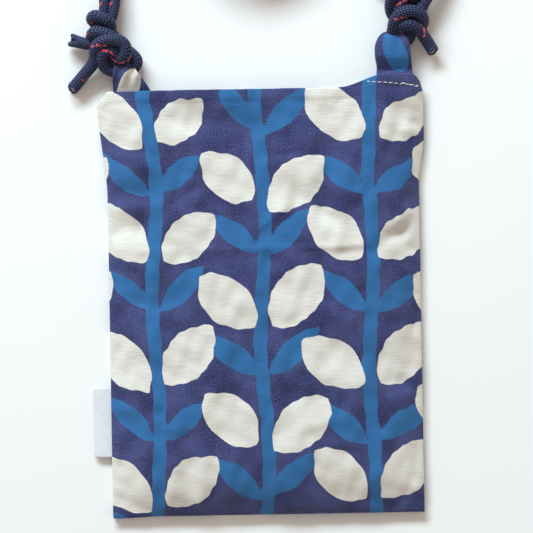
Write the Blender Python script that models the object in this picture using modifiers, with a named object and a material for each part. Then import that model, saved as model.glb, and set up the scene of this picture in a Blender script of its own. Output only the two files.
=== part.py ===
"""Flat crossbody pouch of printed canvas with two cloth tabs and a knotted rope strap.

The pouch lies on its back panel. X runs across it, Y from the bottom seam to the open
mouth, and Z up from the surface it lies on. The origin is on that surface, in the middle
of the pouch with its tabs and label.
"""

import math

import bmesh
import bpy
import numpy as np
from mathutils import Vector

MM = 0.001

# Pouch: overall sizes of the sewn body
POUCH_WIDTH = 156.0 * MM
POUCH_HEIGHT = 212.4 * MM
MOUTH_THICKNESS = 10.5 * MM
BODY_THICKNESS = 12.5 * MM
CANVAS = 0.7 * MM
LINING_CLOTH = 0.5 * MM
CLOTH_GAP = 0.3 * MM
SEAM_GAP = 0.4 * MM
SEAM_HEIGHT = 2.3 * MM
SEAM_LIFT_WIDTH = 5.0 * MM
BOTTOM_ROUND = 38.0 * MM
HEM_DEPTH = 12.0 * MM
HEM_RUN_OUT = 14.0 * MM
LINING_GAP = 0.5 * MM
LINING_INSET = 6.0 * MM

# Pouch: how the soft outline leaves a plain rectangle
LEFT_FLARE = 4.9 * MM
RIGHT_FLARE = 2.85 * MM
LEFT_FLARE_LENGTH = 54.0 * MM
RIGHT_FLARE_LENGTH = 47.0 * MM
BOTTOM_EAR = 0.8 * MM
BOTTOM_EAR_WIDTH = 24.0 * MM
TAB_PULL = 6.6 * MM
TAB_PULL_START = 40.0 * MM
TAB_PULL_RUN = 24.0 * MM
LEFT_BEVEL = 6.0 * MM
LEFT_BEVEL_WIDTH = 5.0 * MM
RIGHT_ROUND = 8.0 * MM
RIGHT_ROUND_WIDTH = 6.0 * MM

# Pouch: how the front's low dome rises from its seams
BODY_STEEPNESS = 5.0
MOUTH_STEEPNESS = 10.0
BOTTOM_STEEPNESS = 3

# Tabs: folded strips of the same cloth
TAB_CLOTH = 0.9 * MM
TAB_WIDTH = 18.0 * MM
LEFT_TAB_WIDTH = 20.0 * MM
TAB_ROOT_DEPTH = 13.0 * MM
RIGHT_TAB_REACH = 27.8 * MM
LEFT_TAB_REACH = 10.4 * MM
LEFT_TAB_FOLD_WIDTH = 7.6 * MM
LEFT_TAB_NARROWING = 5.0 * MM
RIGHT_TAB_FOLD_WIDTH = 3.8 * MM
RIGHT_TAB_NARROWING = 2.0 * MM
LEFT_TAB_CENTRE = -61.4 * MM
LEFT_TAB_LEAN = -5.3 * MM
RIGHT_TAB_CENTRE = 68.9 * MM
RIGHT_TAB_LEAN = 3.6 * MM
TAB_MOUTH_INSET = 2.0 * MM
TAB_BEND_SHARE = 0.45
TAB_FOLD_SHARE = 0.75

# Label: a folded woven strip at the left seam
LABEL_REACH = 9.25 * MM
LABEL_HEIGHT = 35.0 * MM
LABEL_CENTRE_Y = -72.4 * MM
LABEL_CLOTH = 0.25 * MM
LABEL_CORNER = 2.0 * MM
LABEL_CORNER_START = 0.5

# Strap: two round braided ropes, knotted together at both tabs
ROPE_DIAMETER = 5.5 * MM
ROPE_POINT_SPACING = 11.0 * MM
KNOT_POINT_SPACING = 3.0 * MM
KNOT_GRAIN = 1.2 * MM
KNOT_FACES_KEPT = 0.26
CORD_GAP = 0.3 * MM
COIL_CENTRE = (2.0 * MM, 198.0 * MM)
COIL_MEAN_RADIUS = 30.0 * MM
COIL_COLUMNS = 3
COIL_LAYERS = 2
COIL_EDGE_ROUND = 2.0 * MM
WELD_DISTANCE = 0.01 * MM

# Places that follow from the sizes above
POUCH_CENTRE_X = (LABEL_REACH - RIGHT_FLARE - CANVAS / 2) / 2
BOTTOM_Y = BOTTOM_EAR - (POUCH_HEIGHT + BOTTOM_EAR + RIGHT_TAB_REACH) / 2
MOUTH_Y = BOTTOM_Y + POUCH_HEIGHT
HEM_STEP = CANVAS + CLOTH_GAP
LINING_STEP = CANVAS / 2 + LINING_GAP + LINING_CLOTH / 2

# How finely the soft sheets and the ropes are divided
PANEL_COLUMNS = 18
PANEL_ROWS = 15
LINING_COLUMNS = 10
LINING_ROWS = 10
COLUMN_CROWDING = 0.96
ROW_CROWDING = 0.6
ROW_POWER = 1.6
HEM_ROW_SHARE = 0.45
FOLD_STEPS = 4
TAB_COLUMNS = 6
TAB_TURN_POINTS = 7
LABEL_ROWS = 5
EDGE_REACH = 0.99
ROUTE_STEPS = 12
ROPE_BEVEL_STEPS = 2
COIL_STEPS = 40
COIL_CORNER_STEPS = 2

# Rope routes in millimetres, tail ends last, chosen by hand along each rope
LEFT_KNOT_ROPE_A = [
    (-74.6, 142.1, 7.0), (-76.5, 133.2, 7.3), (-78.1, 128.2, 7.4), (-78.2, 122.2, 7.4),
    (-76.8, 117.2, 7.8), (-75.7, 112.1, 8.6), (-76.0, 107.6, 7.4), (-76.2, 103.6, 5.3),
    (-74.4, 100.2, 4.6), (-67.1, 99.1, 4.55), (-60.0, 100.2, 4.55), (-57.2, 103.6, 4.6),
    (-57.9, 107.6, 4.6), (-60.9, 111.4, 3.8), (-65.4, 115.0, 2.9), (-71.8, 116.8, 2.8),
    (-78.3, 118.2, 2.9), (-82.5, 120.3, 4.6), (-83.4, 122.3, 7.6), (-81.5, 123.5, 10.8),
    (-77.7, 123.2, 12.4), (-73.2, 121.6, 12.4), (-69.8, 119.8, 10.6), (-68.2, 119.5, 7.4),
    (-69.5, 121.8, 4.2), (-73.4, 124.9, 2.8), (-78.6, 127.7, 2.9), (-82.6, 129.3, 4.6),
    (-83.8, 130.5, 7.6), (-81.8, 131.6, 10.8), (-78.1, 131.1, 12.4), (-73.9, 129.1, 12.2),
    (-70.6, 126.8, 10.4), (-69.4, 125.3, 7.6), (-71.7, 122.1, 6.6), (-76.8, 119.2, 6.2),
    (-82.8, 118.5, 5.8), (-87.5, 119.6, 5.2), (-92.0, 120.6, 4.8),
]
LEFT_KNOT_ROPE_B = [
    (-69.0, 142.1, 6.8), (-71.0, 133.1, 7.0), (-73.2, 128.1, 7.2), (-72.6, 122.1, 7.4),
    (-71.6, 116.6, 7.8), (-70.8, 112.1, 8.6), (-69.6, 109.3, 9.2), (-66.8, 108.2, 9.6),
    (-64.0, 109.4, 9.4), (-62.6, 112.4, 9.8), (-64.1, 115.7, 11.4), (-67.6, 117.7, 12.6),
    (-71.5, 118.6, 13.0), (-75.5, 118.2, 12.6), (-78.8, 116.6, 11.2), (-80.4, 113.7, 9.4),
    (-81.0, 110.5, 7.6), (-82.7, 107.3, 6.2), (-85.8, 103.8, 5.2), (-89.1, 100.0, 4.4),
    (-92.3, 96.2, 3.9),
]
RIGHT_KNOT_ROPE_A = [
    (92.2, 146.6, 7.6), (88.1, 139.8, 8.0), (83.5, 132.9, 7.8), (79.6, 127.4, 7.0),
    (78.1, 123.0, 5.6), (78.0, 119.6, 4.6), (76.4, 116.8, 4.55), (72.5, 116.1, 4.55),
    (68.6, 116.8, 4.55), (67.0, 119.6, 4.7), (67.6, 123.0, 7.0), (67.8, 126.4, 10.0),
    (69.9, 129.9, 12.2), (74.5, 132.2, 13.2), (79.5, 132.3, 13.2), (83.9, 130.6, 12.0),
    (86.6, 127.6, 9.0), (85.3, 124.8, 5.4), (80.8, 124.2, 3.2), (75.3, 124.8, 2.8),
    (70.4, 127.3, 3.4), (67.3, 131.4, 5.6), (66.7, 135.2, 8.8), (68.6, 139.1, 11.4),
    (72.6, 142.3, 12.6), (77.9, 144.0, 12.4), (82.9, 143.9, 10.6), (85.4, 142.1, 7.4),
    (83.1, 139.1, 4.2), (78.1, 138.7, 2.9), (72.1, 141.8, 2.9), (66.2, 145.7, 3.2),
    (60.8, 149.3, 3.4),
]
RIGHT_KNOT_ROPE_B = [
    (85.3, 150.8, 7.2), (81.2, 143.4, 7.0), (76.5, 135.5, 6.6), (72.9, 130.1, 5.6),
    (71.6, 126.2, 6.2), (72.1, 124.6, 8.0), (73.8, 125.0, 10.0), (77.1, 125.3, 11.0),
    (80.3, 123.6, 10.0), (83.5, 120.6, 7.4), (86.4, 116.8, 5.4), (89.4, 112.2, 4.4),
]
ROPE_A_LEFT_RUN = [
    (-74.6, 141.6, 7.0), (-74.4, 151.0, 6.2), (-71.5, 160.0, 4.2), (-65.0, 167.5, 3.0),
    (-56.5, 172.3, 2.75), (-48.0, 175.6, 2.75), (-41.8, 181.4, 2.75), (-37.8, 189.4, 2.75),
]
ROPE_B_LEFT_RUN = [
    (-69.0, 141.6, 6.8), (-68.6, 150.5, 5.6), (-64.5, 157.8, 3.8), (-57.5, 163.0, 3.2),
    (-50.5, 167.2, 4.8), (-45.6, 173.0, 8.6), (-41.6, 180.8, 12.6), (-37.8, 189.4, 14.05),
]
ROPE_A_RIGHT_RUN = [
    (41.8, 189.4, 8.25), (45.2, 181.6, 6.8), (48.6, 174.2, 4.6), (54.6, 168.4, 3.2), (63.4, 166.2, 2.75),
    (73.5, 168.0, 2.75), (83.5, 171.5, 2.75), (92.5, 171.0, 3.0), (98.8, 165.5, 4.0),
    (98.2, 156.5, 5.8), (92.0, 146.1, 7.6),
]
ROPE_B_RIGHT_RUN = [
    (41.8, 189.4, 19.5), (44.2, 180.6, 17.4), (46.4, 172.2, 12.6), (50.0, 165.0, 8.4), (57.2, 160.2, 5.0),
    (66.0, 159.0, 3.2), (76.0, 161.8, 2.8), (84.5, 164.6, 3.2), (90.4, 162.4, 4.6),
    (89.0, 156.8, 6.2), (85.1, 150.3, 7.2),
]
LEFT_STRAP_CUT = (Vector((-71.8, 141.05, 7.0)) * MM, Vector((0.0, 1.0, 0.0)))
RIGHT_STRAP_CUT = (Vector((88.2, 147.8, 7.4)) * MM, Vector((0.52, 0.854, 0.0)))


def smooth(value):
    """Ease from 0 to 1 with flat ends."""
    t = np.clip(value, 0.0, 1.0)
    return t * t * (3.0 - 2.0 * t)


def make_material(name, colour, roughness):
    """A plain surface colour for one kind of piece."""
    material = bpy.data.materials.new(name)
    material.use_nodes = True
    shader = material.node_tree.nodes["Principled BSDF"]
    shader.inputs["Base Color"].default_value = (*colour, 1.0)
    shader.inputs["Roughness"].default_value = roughness
    shader.inputs["Metallic"].default_value = 0.0
    return material


def add_object(name, data, material, collection):
    """Put mesh or curve data into the part's collection under its own name."""
    obj = bpy.data.objects.new(name, data)
    data.materials.append(material)
    collection.objects.link(obj)
    return obj


def grid_mesh(name, points):
    """An open sheet of quads from an array of rows and columns of points."""
    rows, columns, _ = points.shape
    mesh = bpy.data.meshes.new(name)
    faces = []
    for row in range(rows - 1):
        for column in range(columns - 1):
            corner = row * columns + column
            faces.append((corner, corner + 1, corner + columns + 1, corner + columns))
    mesh.from_pydata([tuple(p) for p in points.reshape(-1, 3)], [], faces)
    mesh.shade_smooth()
    return mesh


def thicken(obj, thickness):
    """Give a sheet its cloth thickness, half to each side."""
    solidify = obj.modifiers.new("cloth", "SOLIDIFY")
    solidify.thickness = thickness
    solidify.offset = 0.0
    solidify.use_even_offset = True


def side_edges(y):
    """X of the left and right side seams at height y."""
    left_rise = smooth((y - (MOUTH_Y - LEFT_FLARE_LENGTH)) / LEFT_FLARE_LENGTH)
    right_rise = smooth((y - (MOUTH_Y - RIGHT_FLARE_LENGTH)) / (RIGHT_FLARE_LENGTH / 2))
    left = POUCH_CENTRE_X - POUCH_WIDTH / 2 - LEFT_FLARE * left_rise
    right = POUCH_CENTRE_X + POUCH_WIDTH / 2 + RIGHT_FLARE * right_rise
    return left, right


def end_edges(across):
    """Y of the bottom seam and of the mouth edge, at a place from -1 to 1 across."""
    x = POUCH_CENTRE_X + across * POUCH_WIDTH / 2
    from_left = (1.0 + across) * POUCH_WIDTH / 2
    from_right = (1.0 - across) * POUCH_WIDTH / 2
    ears = smooth(1.0 - from_left / BOTTOM_EAR_WIDTH)
    bottom = BOTTOM_Y - BOTTOM_EAR * ears
    pull = TAB_PULL * smooth((x - TAB_PULL_START) / TAB_PULL_RUN)
    bevel = LEFT_BEVEL * np.clip(1.0 - from_left / LEFT_BEVEL_WIDTH, 0.0, 1.0)
    turn = np.clip(1.0 - from_right / RIGHT_ROUND_WIDTH, 0.0, 1.0)
    corner = RIGHT_ROUND * (1.0 - np.sqrt(1.0 - turn**2))
    return bottom, MOUTH_Y + pull - bevel - corner


def hem_zone(y):
    """1 where the mouth is hemmed, easing to 0 below the hem."""
    return smooth((y - (MOUTH_Y - HEM_DEPTH - HEM_RUN_OUT)) / HEM_RUN_OUT)


def front_mid(across, y):
    """Middle of the front cloth: a low dome that is steep at its seams and open at the mouth."""
    bottom, _ = end_edges(across)
    edge = SEAM_HEIGHT + SEAM_GAP / 2 + CANVAS / 2 + HEM_STEP * hem_zone(y)
    rise = smooth(y / MOUTH_Y)
    crest = BODY_THICKNESS + (MOUTH_THICKNESS - BODY_THICKNESS) * rise - CANVAS / 2
    steepness = BODY_STEEPNESS + (MOUTH_STEEPNESS - BODY_STEEPNESS) * rise
    sideways = 1.0 - np.abs(across) ** steepness
    upwards = 1.0 - (1.0 - np.clip((y - bottom) / BOTTOM_ROUND, 0.0, 1.0)) ** BOTTOM_STEEPNESS
    left, right = side_edges(y)
    x = (left + right) / 2 + across * (right - left) / 2
    return np.stack([x, y, edge + (crest - edge) * sideways * upwards], axis=-1)


def back_mid(across, y):
    """Middle of the back cloth: flat on the surface, lifted along the seams."""
    bottom, _ = end_edges(across)
    edge = SEAM_HEIGHT - SEAM_GAP / 2 - CANVAS / 2 - HEM_STEP * hem_zone(y)
    side = (1.0 - np.abs(across)) * POUCH_WIDTH / 2
    near = np.maximum(smooth(1.0 - side / SEAM_LIFT_WIDTH), smooth(1.0 - (y - bottom) / SEAM_LIFT_WIDTH))
    left, right = side_edges(y)
    x = (left + right) / 2 + across * (right - left) / 2
    return np.stack([x, y, CANVAS / 2 + (edge - CANVAS / 2) * near], axis=-1)


def across_places(columns, inset=0.0):
    """Column places from -1 to 1, closer together near the side seams."""
    even = np.linspace(-1.0, 1.0, columns + 1)
    reach = 1.0 - inset / (POUCH_WIDTH / 2)
    widest = math.pi / 2 * COLUMN_CROWDING
    return reach * np.sin(even * widest) / math.sin(widest)


def up_places(rows):
    """Row places from 0 to 1, closer together near the bottom seam."""
    even = np.linspace(0.0, 1.0, rows + 1)
    return ROW_CROWDING * even**ROW_POWER + (1.0 - ROW_CROWDING) * even


def sheet_normals(points):
    """Unit normals of a grid of points, upwards."""
    along = np.gradient(points, axis=0)
    over = np.gradient(points, axis=1)
    normal = np.cross(over, along)
    return normal / np.linalg.norm(normal, axis=-1, keepdims=True)


def outer_panel(name, surface, inward, material, collection):
    """One outer cloth panel with its mouth edge turned in and down as a hem."""
    across = across_places(PANEL_COLUMNS)
    bottom, top = end_edges(across)
    fold_radius = HEM_STEP / 2
    body_top = top - fold_radius
    heights = bottom + (body_top - bottom) * up_places(PANEL_ROWS)[:, None]
    heights = np.vstack([heights[:-1], body_top - HEM_DEPTH * HEM_ROW_SHARE, body_top])
    heights = np.sort(heights, axis=0)
    body = surface(across[None, :] + 0.0 * heights, heights)
    inside = sheet_normals(body)[-1] * inward
    edge_row = body[-1]
    rows = [body]
    for step in range(1, FOLD_STEPS):
        turn = math.pi * step / FOLD_STEPS
        ahead = np.array([0.0, fold_radius * math.sin(turn), 0.0])
        rows.append((edge_row + ahead + inside * fold_radius * (1.0 - math.cos(turn)))[None])
    for share in (0.0, 0.5, 1.0):
        y = body_top - share * (HEM_DEPTH - fold_radius)
        layer = surface(across, y)
        below = surface(across, y - HEM_RUN_OUT)
        slope = sheet_normals(np.stack([below, layer]))[-1]
        rows.append((layer + slope * inward * HEM_STEP)[None])
    obj = add_object(name, grid_mesh(name, np.concatenate(rows)), material, collection)
    thicken(obj, CANVAS)
    return obj


def lining_panel(name, surface, inward, material, collection):
    """A thin inner sheet that follows an outer panel and stops below its hem."""
    across = across_places(LINING_COLUMNS, LINING_INSET)
    bottom, top = end_edges(across)
    lowest = bottom + LINING_INSET
    highest = top - HEM_DEPTH - CANVAS - 2 * LINING_GAP
    heights = lowest + (highest - lowest) * up_places(LINING_ROWS)[:, None]
    sheet = surface(across[None, :] + 0.0 * heights, heights)
    sheet = sheet + sheet_normals(sheet) * inward * LINING_STEP
    obj = add_object(name, grid_mesh(name, sheet), material, collection)
    thicken(obj, LINING_CLOTH)
    return obj


def smooth_route(points, spacing):
    """Evenly spaced points on a smooth curve through the given ones."""
    known = np.array(points, dtype=float)
    known = np.vstack([2 * known[0] - known[1], known, 2 * known[-1] - known[-2]])
    dense = []
    for index in range(1, len(known) - 2):
        before, start, end, after = known[index - 1:index + 3]
        for t in np.linspace(0.0, 1.0, ROUTE_STEPS, endpoint=False):
            dense.append(0.5 * (
                2 * start + (end - before) * t
                + (2 * before - 5 * start + 4 * end - after) * t**2
                + (3 * start - before - 3 * end + after) * t**3
            ))
    dense.append(known[-2])
    dense = np.array(dense)
    travelled = np.concatenate([[0.0], np.cumsum(np.linalg.norm(np.diff(dense, axis=0), axis=1))])
    count = max(2, int(round(travelled[-1] / spacing)) + 1)
    stops = np.linspace(0.0, travelled[-1], count)
    return np.stack([np.interp(stops, travelled, dense[:, axis]) for axis in range(3)], axis=1)


def strip_loop(name, path, widths, centres, cloth, columns, follow, material, collection):
    """A flat strip that runs out, folds over and runs back, from its side path in Y and Z."""
    across = np.linspace(-1.0, 1.0, columns + 1)
    rows = []
    for (y, z), width, centre in zip(path, widths, centres):
        x = centre + across * width / 2
        rows.append(np.stack([x, np.full_like(x, y), z + follow(x, y, z)], axis=-1))
    obj = add_object(name, grid_mesh(name, np.array(rows)), material, collection)
    thicken(obj, cloth)
    return obj


def tab_loop(name, base_y, fold_y, roots, sizes, centres, follow, material, collection):
    """A tab: both legs start inside the mouth and meet in a fold round the rope."""
    rope_clear = ROPE_DIAMETER / 2 + CLOTH_GAP + TAB_CLOTH / 2
    under_z = TAB_CLOTH / 2 + 2 * CLOTH_GAP
    rope_z = under_z + rope_clear
    over_z = rope_z + rope_clear
    rope_y = fold_y - TAB_CLOTH / 2 - rope_clear
    root_y = base_y - TAB_ROOT_DEPTH
    width, fold_width, narrowing = sizes
    middle_y = base_y + TAB_BEND_SHARE * (rope_y - base_y)
    narrow_y = rope_y - narrowing
    under_leg = [
        (root_y, roots[0]), (base_y - TAB_MOUTH_INSET, roots[0]), (middle_y, (roots[0] + under_z) / 2),
        ((middle_y + rope_y) / 2, under_z),
    ]
    over_leg = [
        ((middle_y + rope_y) / 2, over_z), (middle_y, (roots[1] + 2 * over_z) / 3),
        (base_y - TAB_MOUTH_INSET, roots[1]), (root_y, roots[1]),
    ]
    turns = np.radians(np.linspace(-90.0, 90.0, TAB_TURN_POINTS))
    fold = [(rope_y + rope_clear * math.cos(t), rope_z + rope_clear * math.sin(t)) for t in turns]
    path = under_leg + fold + over_leg
    full_y = rope_y + TAB_FOLD_SHARE * rope_clear
    shares = [smooth((y - narrow_y) / (full_y - narrow_y)) for y, _ in path]
    widths = [width + (fold_width - width) * share for share in shares]
    middles = [centres[0] + (centres[1] - centres[0]) * share for share in shares]
    return strip_loop(name, path, widths, middles, TAB_CLOTH, TAB_COLUMNS, follow, material, collection)


def rope_curve(name, route_mm, spacing, collection, material=None):
    """A round rope as a tube along a smooth route."""
    points = smooth_route(np.array(route_mm) * MM, spacing)
    curve = bpy.data.curves.new(name, "CURVE")
    curve.dimensions = "3D"
    curve.bevel_depth = ROPE_DIAMETER / 2
    curve.bevel_resolution = ROPE_BEVEL_STEPS
    curve.use_fill_caps = True
    spline = curve.splines.new("POLY")
    spline.points.add(len(points) - 1)
    for target, point in zip(spline.points, points):
        target.co = (*point, 1.0)
    obj = bpy.data.objects.new(name, curve)
    if material:
        curve.materials.append(material)
    collection.objects.link(obj)
    return obj


def knot(name, routes, cut, material, collection):
    """Both ropes drawn tight into one body, cut square where the strap leaves it."""
    work = bmesh.new()
    for index, route in enumerate(routes):
        tube = rope_curve(f"{name}_rope_{index}", route, KNOT_POINT_SPACING, collection)
        graph = bpy.context.evaluated_depsgraph_get()
        mesh = bpy.data.meshes.new_from_object(tube.evaluated_get(graph))
        work.from_mesh(mesh)
        curve = tube.data
        bpy.data.objects.remove(tube)
        bpy.data.curves.remove(curve)
        bpy.data.meshes.remove(mesh)
    bmesh.ops.remove_doubles(work, verts=work.verts, dist=WELD_DISTANCE)
    body = bpy.data.meshes.new(name)
    work.to_mesh(body)
    work.free()
    obj = add_object(name, body, material, collection)
    remesh = obj.modifiers.new("fuse", "REMESH")
    remesh.mode = "VOXEL"
    remesh.voxel_size = KNOT_GRAIN
    thin = obj.modifiers.new("thin", "DECIMATE")
    thin.ratio = KNOT_FACES_KEPT
    graph = bpy.context.evaluated_depsgraph_get()
    fused = bpy.data.meshes.new_from_object(obj.evaluated_get(graph))
    obj.modifiers.clear()
    obj.data = fused
    bpy.data.meshes.remove(body)
    fused.name = name
    keep_outside(fused)
    cut_square(fused, cut)
    fused.shade_smooth()
    return obj


def keep_outside(mesh):
    """Drop the closed pockets between the strands, so that the knot is solid."""
    work = bmesh.new()
    work.from_mesh(mesh)
    unseen = set(work.verts)
    pieces = []
    while unseen:
        stack = [unseen.pop()]
        piece = set(stack)
        while stack:
            for edge in stack.pop().link_edges:
                for vertex in edge.verts:
                    if vertex in unseen:
                        unseen.remove(vertex)
                        piece.add(vertex)
                        stack.append(vertex)
        pieces.append(piece)
    pieces.sort(key=len)
    for piece in pieces[:-1]:
        bmesh.ops.delete(work, geom=list(piece), context="VERTS")
    work.to_mesh(mesh)
    work.free()


def cut_square(mesh, cut):
    """Cut the strands off flat on a plane and close the cut."""
    work = bmesh.new()
    work.from_mesh(mesh)
    place, direction = cut
    everything = work.verts[:] + work.edges[:] + work.faces[:]
    bmesh.ops.bisect_plane(work, geom=everything, plane_co=place, plane_no=direction, clear_outer=True)
    rim = [edge for edge in work.edges if edge.is_boundary]
    bmesh.ops.holes_fill(work, edges=rim)
    bmesh.ops.triangulate(work, faces=[face for face in work.faces if len(face.verts) > 4])
    work.to_mesh(mesh)
    work.free()


def coil_ring(name, base_z, material, collection):
    """The outer shape of one wound coil: a turned ring with rounded edges."""
    half_width = COIL_COLUMNS * ROPE_DIAMETER / 2
    height = COIL_LAYERS * ROPE_DIAMETER
    inner = COIL_MEAN_RADIUS - half_width
    outer = COIL_MEAN_RADIUS + half_width
    edge = COIL_EDGE_ROUND
    profile = []
    corners = [
        (outer - edge, height - edge, 90), (outer - edge, edge, 0),
        (inner + edge, edge, -90), (inner + edge, height - edge, -180),
    ]
    for centre_x, centre_z, first in corners:
        for step in range(COIL_CORNER_STEPS + 1):
            turn = math.radians(first - 90 * step / COIL_CORNER_STEPS)
            profile.append((centre_x + edge * math.cos(turn), 0.0, centre_z + edge * math.sin(turn)))
    mesh = bpy.data.meshes.new(name)
    count = len(profile)
    mesh.from_pydata(profile, [(i, (i + 1) % count) for i in range(count)], [])
    obj = add_object(name, mesh, material, collection)
    obj.location = (COIL_CENTRE[0], COIL_CENTRE[1], base_z)
    screw = obj.modifiers.new("turn", "SCREW")
    screw.steps = COIL_STEPS
    screw.render_steps = COIL_STEPS
    screw.use_merge_vertices = True
    screw.merge_threshold = WELD_DISTANCE
    screw.use_smooth_shade = True
    return obj


def side_label(material, collection):
    """The folded woven label, which stands out from the left seam."""
    left, _ = side_edges(np.array(LABEL_CENTRE_Y))
    root_x = float(left) - CLOTH_GAP
    half_step = (LABEL_CLOTH + CLOTH_GAP) / 2
    tip_x = root_x - LABEL_REACH + CLOTH_GAP + LABEL_CLOTH / 2 + half_step
    path = [(root_x, half_step), ((root_x + tip_x) / 2, half_step), (tip_x, half_step)]
    for turn in (45, 90, 135):
        side = math.radians(turn)
        path.append((tip_x - half_step * math.sin(side), half_step * math.cos(side)))
    path += [(tip_x, -half_step), ((root_x + tip_x) / 2, -half_step), (root_x, -half_step)]
    rows = []
    for x, z in path:
        shorten = LABEL_CORNER * smooth((root_x - x) / LABEL_REACH - LABEL_CORNER_START)
        low = LABEL_CENTRE_Y - LABEL_HEIGHT / 2 + shorten
        high = LABEL_CENTRE_Y + LABEL_HEIGHT / 2
        y = np.linspace(low, high, LABEL_ROWS)
        rows.append(np.stack([np.full_like(y, x), y, np.full_like(y, SEAM_HEIGHT + z)], axis=-1))
    obj = add_object("side_label", grid_mesh("side_label", np.array(rows)), material, collection)
    thicken(obj, LABEL_CLOTH)
    return obj


def front_follow(x, y, z):
    """How far the right tab's root dips with the front panel above it."""
    half = POUCH_WIDTH / 2
    across = np.clip((x - POUCH_CENTRE_X) / half, -EDGE_REACH, EDGE_REACH)
    centre = np.clip((RIGHT_TAB_CENTRE - POUCH_CENTRE_X) / half, -EDGE_REACH, EDGE_REACH)
    at_x = front_mid(across, np.full_like(x, MOUTH_Y))[..., 2]
    at_centre = front_mid(np.full_like(x, centre), np.full_like(x, MOUTH_Y))[..., 2]
    fade = 1.0 - smooth((y - MOUTH_Y - TAB_PULL) / (RIGHT_TAB_REACH - 2 * TAB_PULL))
    return (at_x - at_centre) * fade


def no_follow(x, y, z):
    """A root that lies flat."""
    return 0.0 * x


def build():
    """Model the whole pouch."""
    for obj in list(bpy.data.objects):
        bpy.data.objects.remove(obj, do_unlink=True)
    collection = bpy.data.collections.new("crossbody_pouch")
    bpy.context.scene.collection.children.link(collection)
    canvas = make_material("printed_canvas", (0.051, 0.072, 0.181), 0.85)
    canvas_back = make_material("printed_canvas_back", (0.051, 0.072, 0.181), 0.85)
    tab_blue = make_material("tab_canvas_blue", (0.037, 0.130, 0.328), 0.85)
    tab_cream = make_material("tab_canvas_cream", (0.60, 0.58, 0.53), 0.85)
    lining = make_material("lining_cotton", (0.50, 0.49, 0.45), 0.9)
    lining_back = make_material("lining_cotton_back", (0.50, 0.49, 0.45), 0.9)
    label = make_material("woven_label", (0.72, 0.75, 0.80), 0.7)

    outer_panel("outer_front_panel", front_mid, -1.0, canvas, collection)
    outer_panel("outer_back_panel", back_mid, 1.0, canvas_back, collection)
    lining_panel("lining_front", front_mid, -1.0, lining, collection)
    lining_panel("lining_back", back_mid, 1.0, lining_back, collection)
    side_label(label, collection)

    step = TAB_CLOTH + CLOTH_GAP
    back_root = CANVAS + CLOTH_GAP + CANVAS + CLOTH_GAP + TAB_CLOTH / 2
    tab_loop(
        "left_tab", MOUTH_Y, MOUTH_Y + LEFT_TAB_REACH, (back_root, back_root + step),
        (LEFT_TAB_WIDTH, LEFT_TAB_FOLD_WIDTH, LEFT_TAB_NARROWING),
        (LEFT_TAB_CENTRE, LEFT_TAB_CENTRE + LEFT_TAB_LEAN), no_follow, tab_cream, collection,
    )
    half = POUCH_WIDTH / 2
    centre = (RIGHT_TAB_CENTRE - POUCH_CENTRE_X) / half
    front_z = float(front_mid(np.array(centre), np.array(MOUTH_Y))[2])
    front_root = front_z - CANVAS / 2 - CLOTH_GAP - CANVAS - 2 * CLOTH_GAP - TAB_CLOTH / 2
    tab_loop(
        "right_tab", MOUTH_Y + TAB_PULL, MOUTH_Y + RIGHT_TAB_REACH, (front_root - step, front_root),
        (TAB_WIDTH, RIGHT_TAB_FOLD_WIDTH, RIGHT_TAB_NARROWING),
        (RIGHT_TAB_CENTRE, RIGHT_TAB_CENTRE + RIGHT_TAB_LEAN), front_follow, tab_blue, collection,
    )

    rope_colours = (0.021, 0.025, 0.045)
    knot_left = make_material("braided_rope_left_knot", rope_colours, 0.75)
    knot_right = make_material("braided_rope_right_knot", rope_colours, 0.75)
    knot("left_knot", [LEFT_KNOT_ROPE_A, LEFT_KNOT_ROPE_B], LEFT_STRAP_CUT, knot_left, collection)
    knot("right_knot", [RIGHT_KNOT_ROPE_A, RIGHT_KNOT_ROPE_B], RIGHT_STRAP_CUT, knot_right, collection)
    coil_height = COIL_LAYERS * ROPE_DIAMETER
    ropes = [
        ("a", ROPE_A_LEFT_RUN, ROPE_A_RIGHT_RUN, 0.0),
        ("b", ROPE_B_LEFT_RUN, ROPE_B_RIGHT_RUN, coil_height + CORD_GAP),
    ]
    for letter, left_run, right_run, base_z in ropes:
        for side, route in (("left", left_run), ("right", right_run)):
            run_name = f"rope_{letter}_{side}_run"
            run_material = make_material(f"braided_{run_name}", rope_colours, 0.75)
            rope_curve(run_name, route, ROPE_POINT_SPACING, collection, run_material)
        ring_material = make_material(f"braided_rope_{letter}_coil", rope_colours, 0.75)
        coil_ring(f"rope_{letter}_coil", base_z, ring_material, collection)


build()
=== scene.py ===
"""Looks of a flat crossbody pouch: printed canvas, two cloth tabs and a knotted rope strap.

The pouch lies on its back. X runs across it, Y from the bottom seam to the open mouth, and
Z up from the table. Lengths are in metres, and routes and creases are listed in millimetres.
"""

import logging
import math
from collections.abc import Callable, Sequence
from dataclasses import dataclass, field
from enum import Enum

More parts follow.
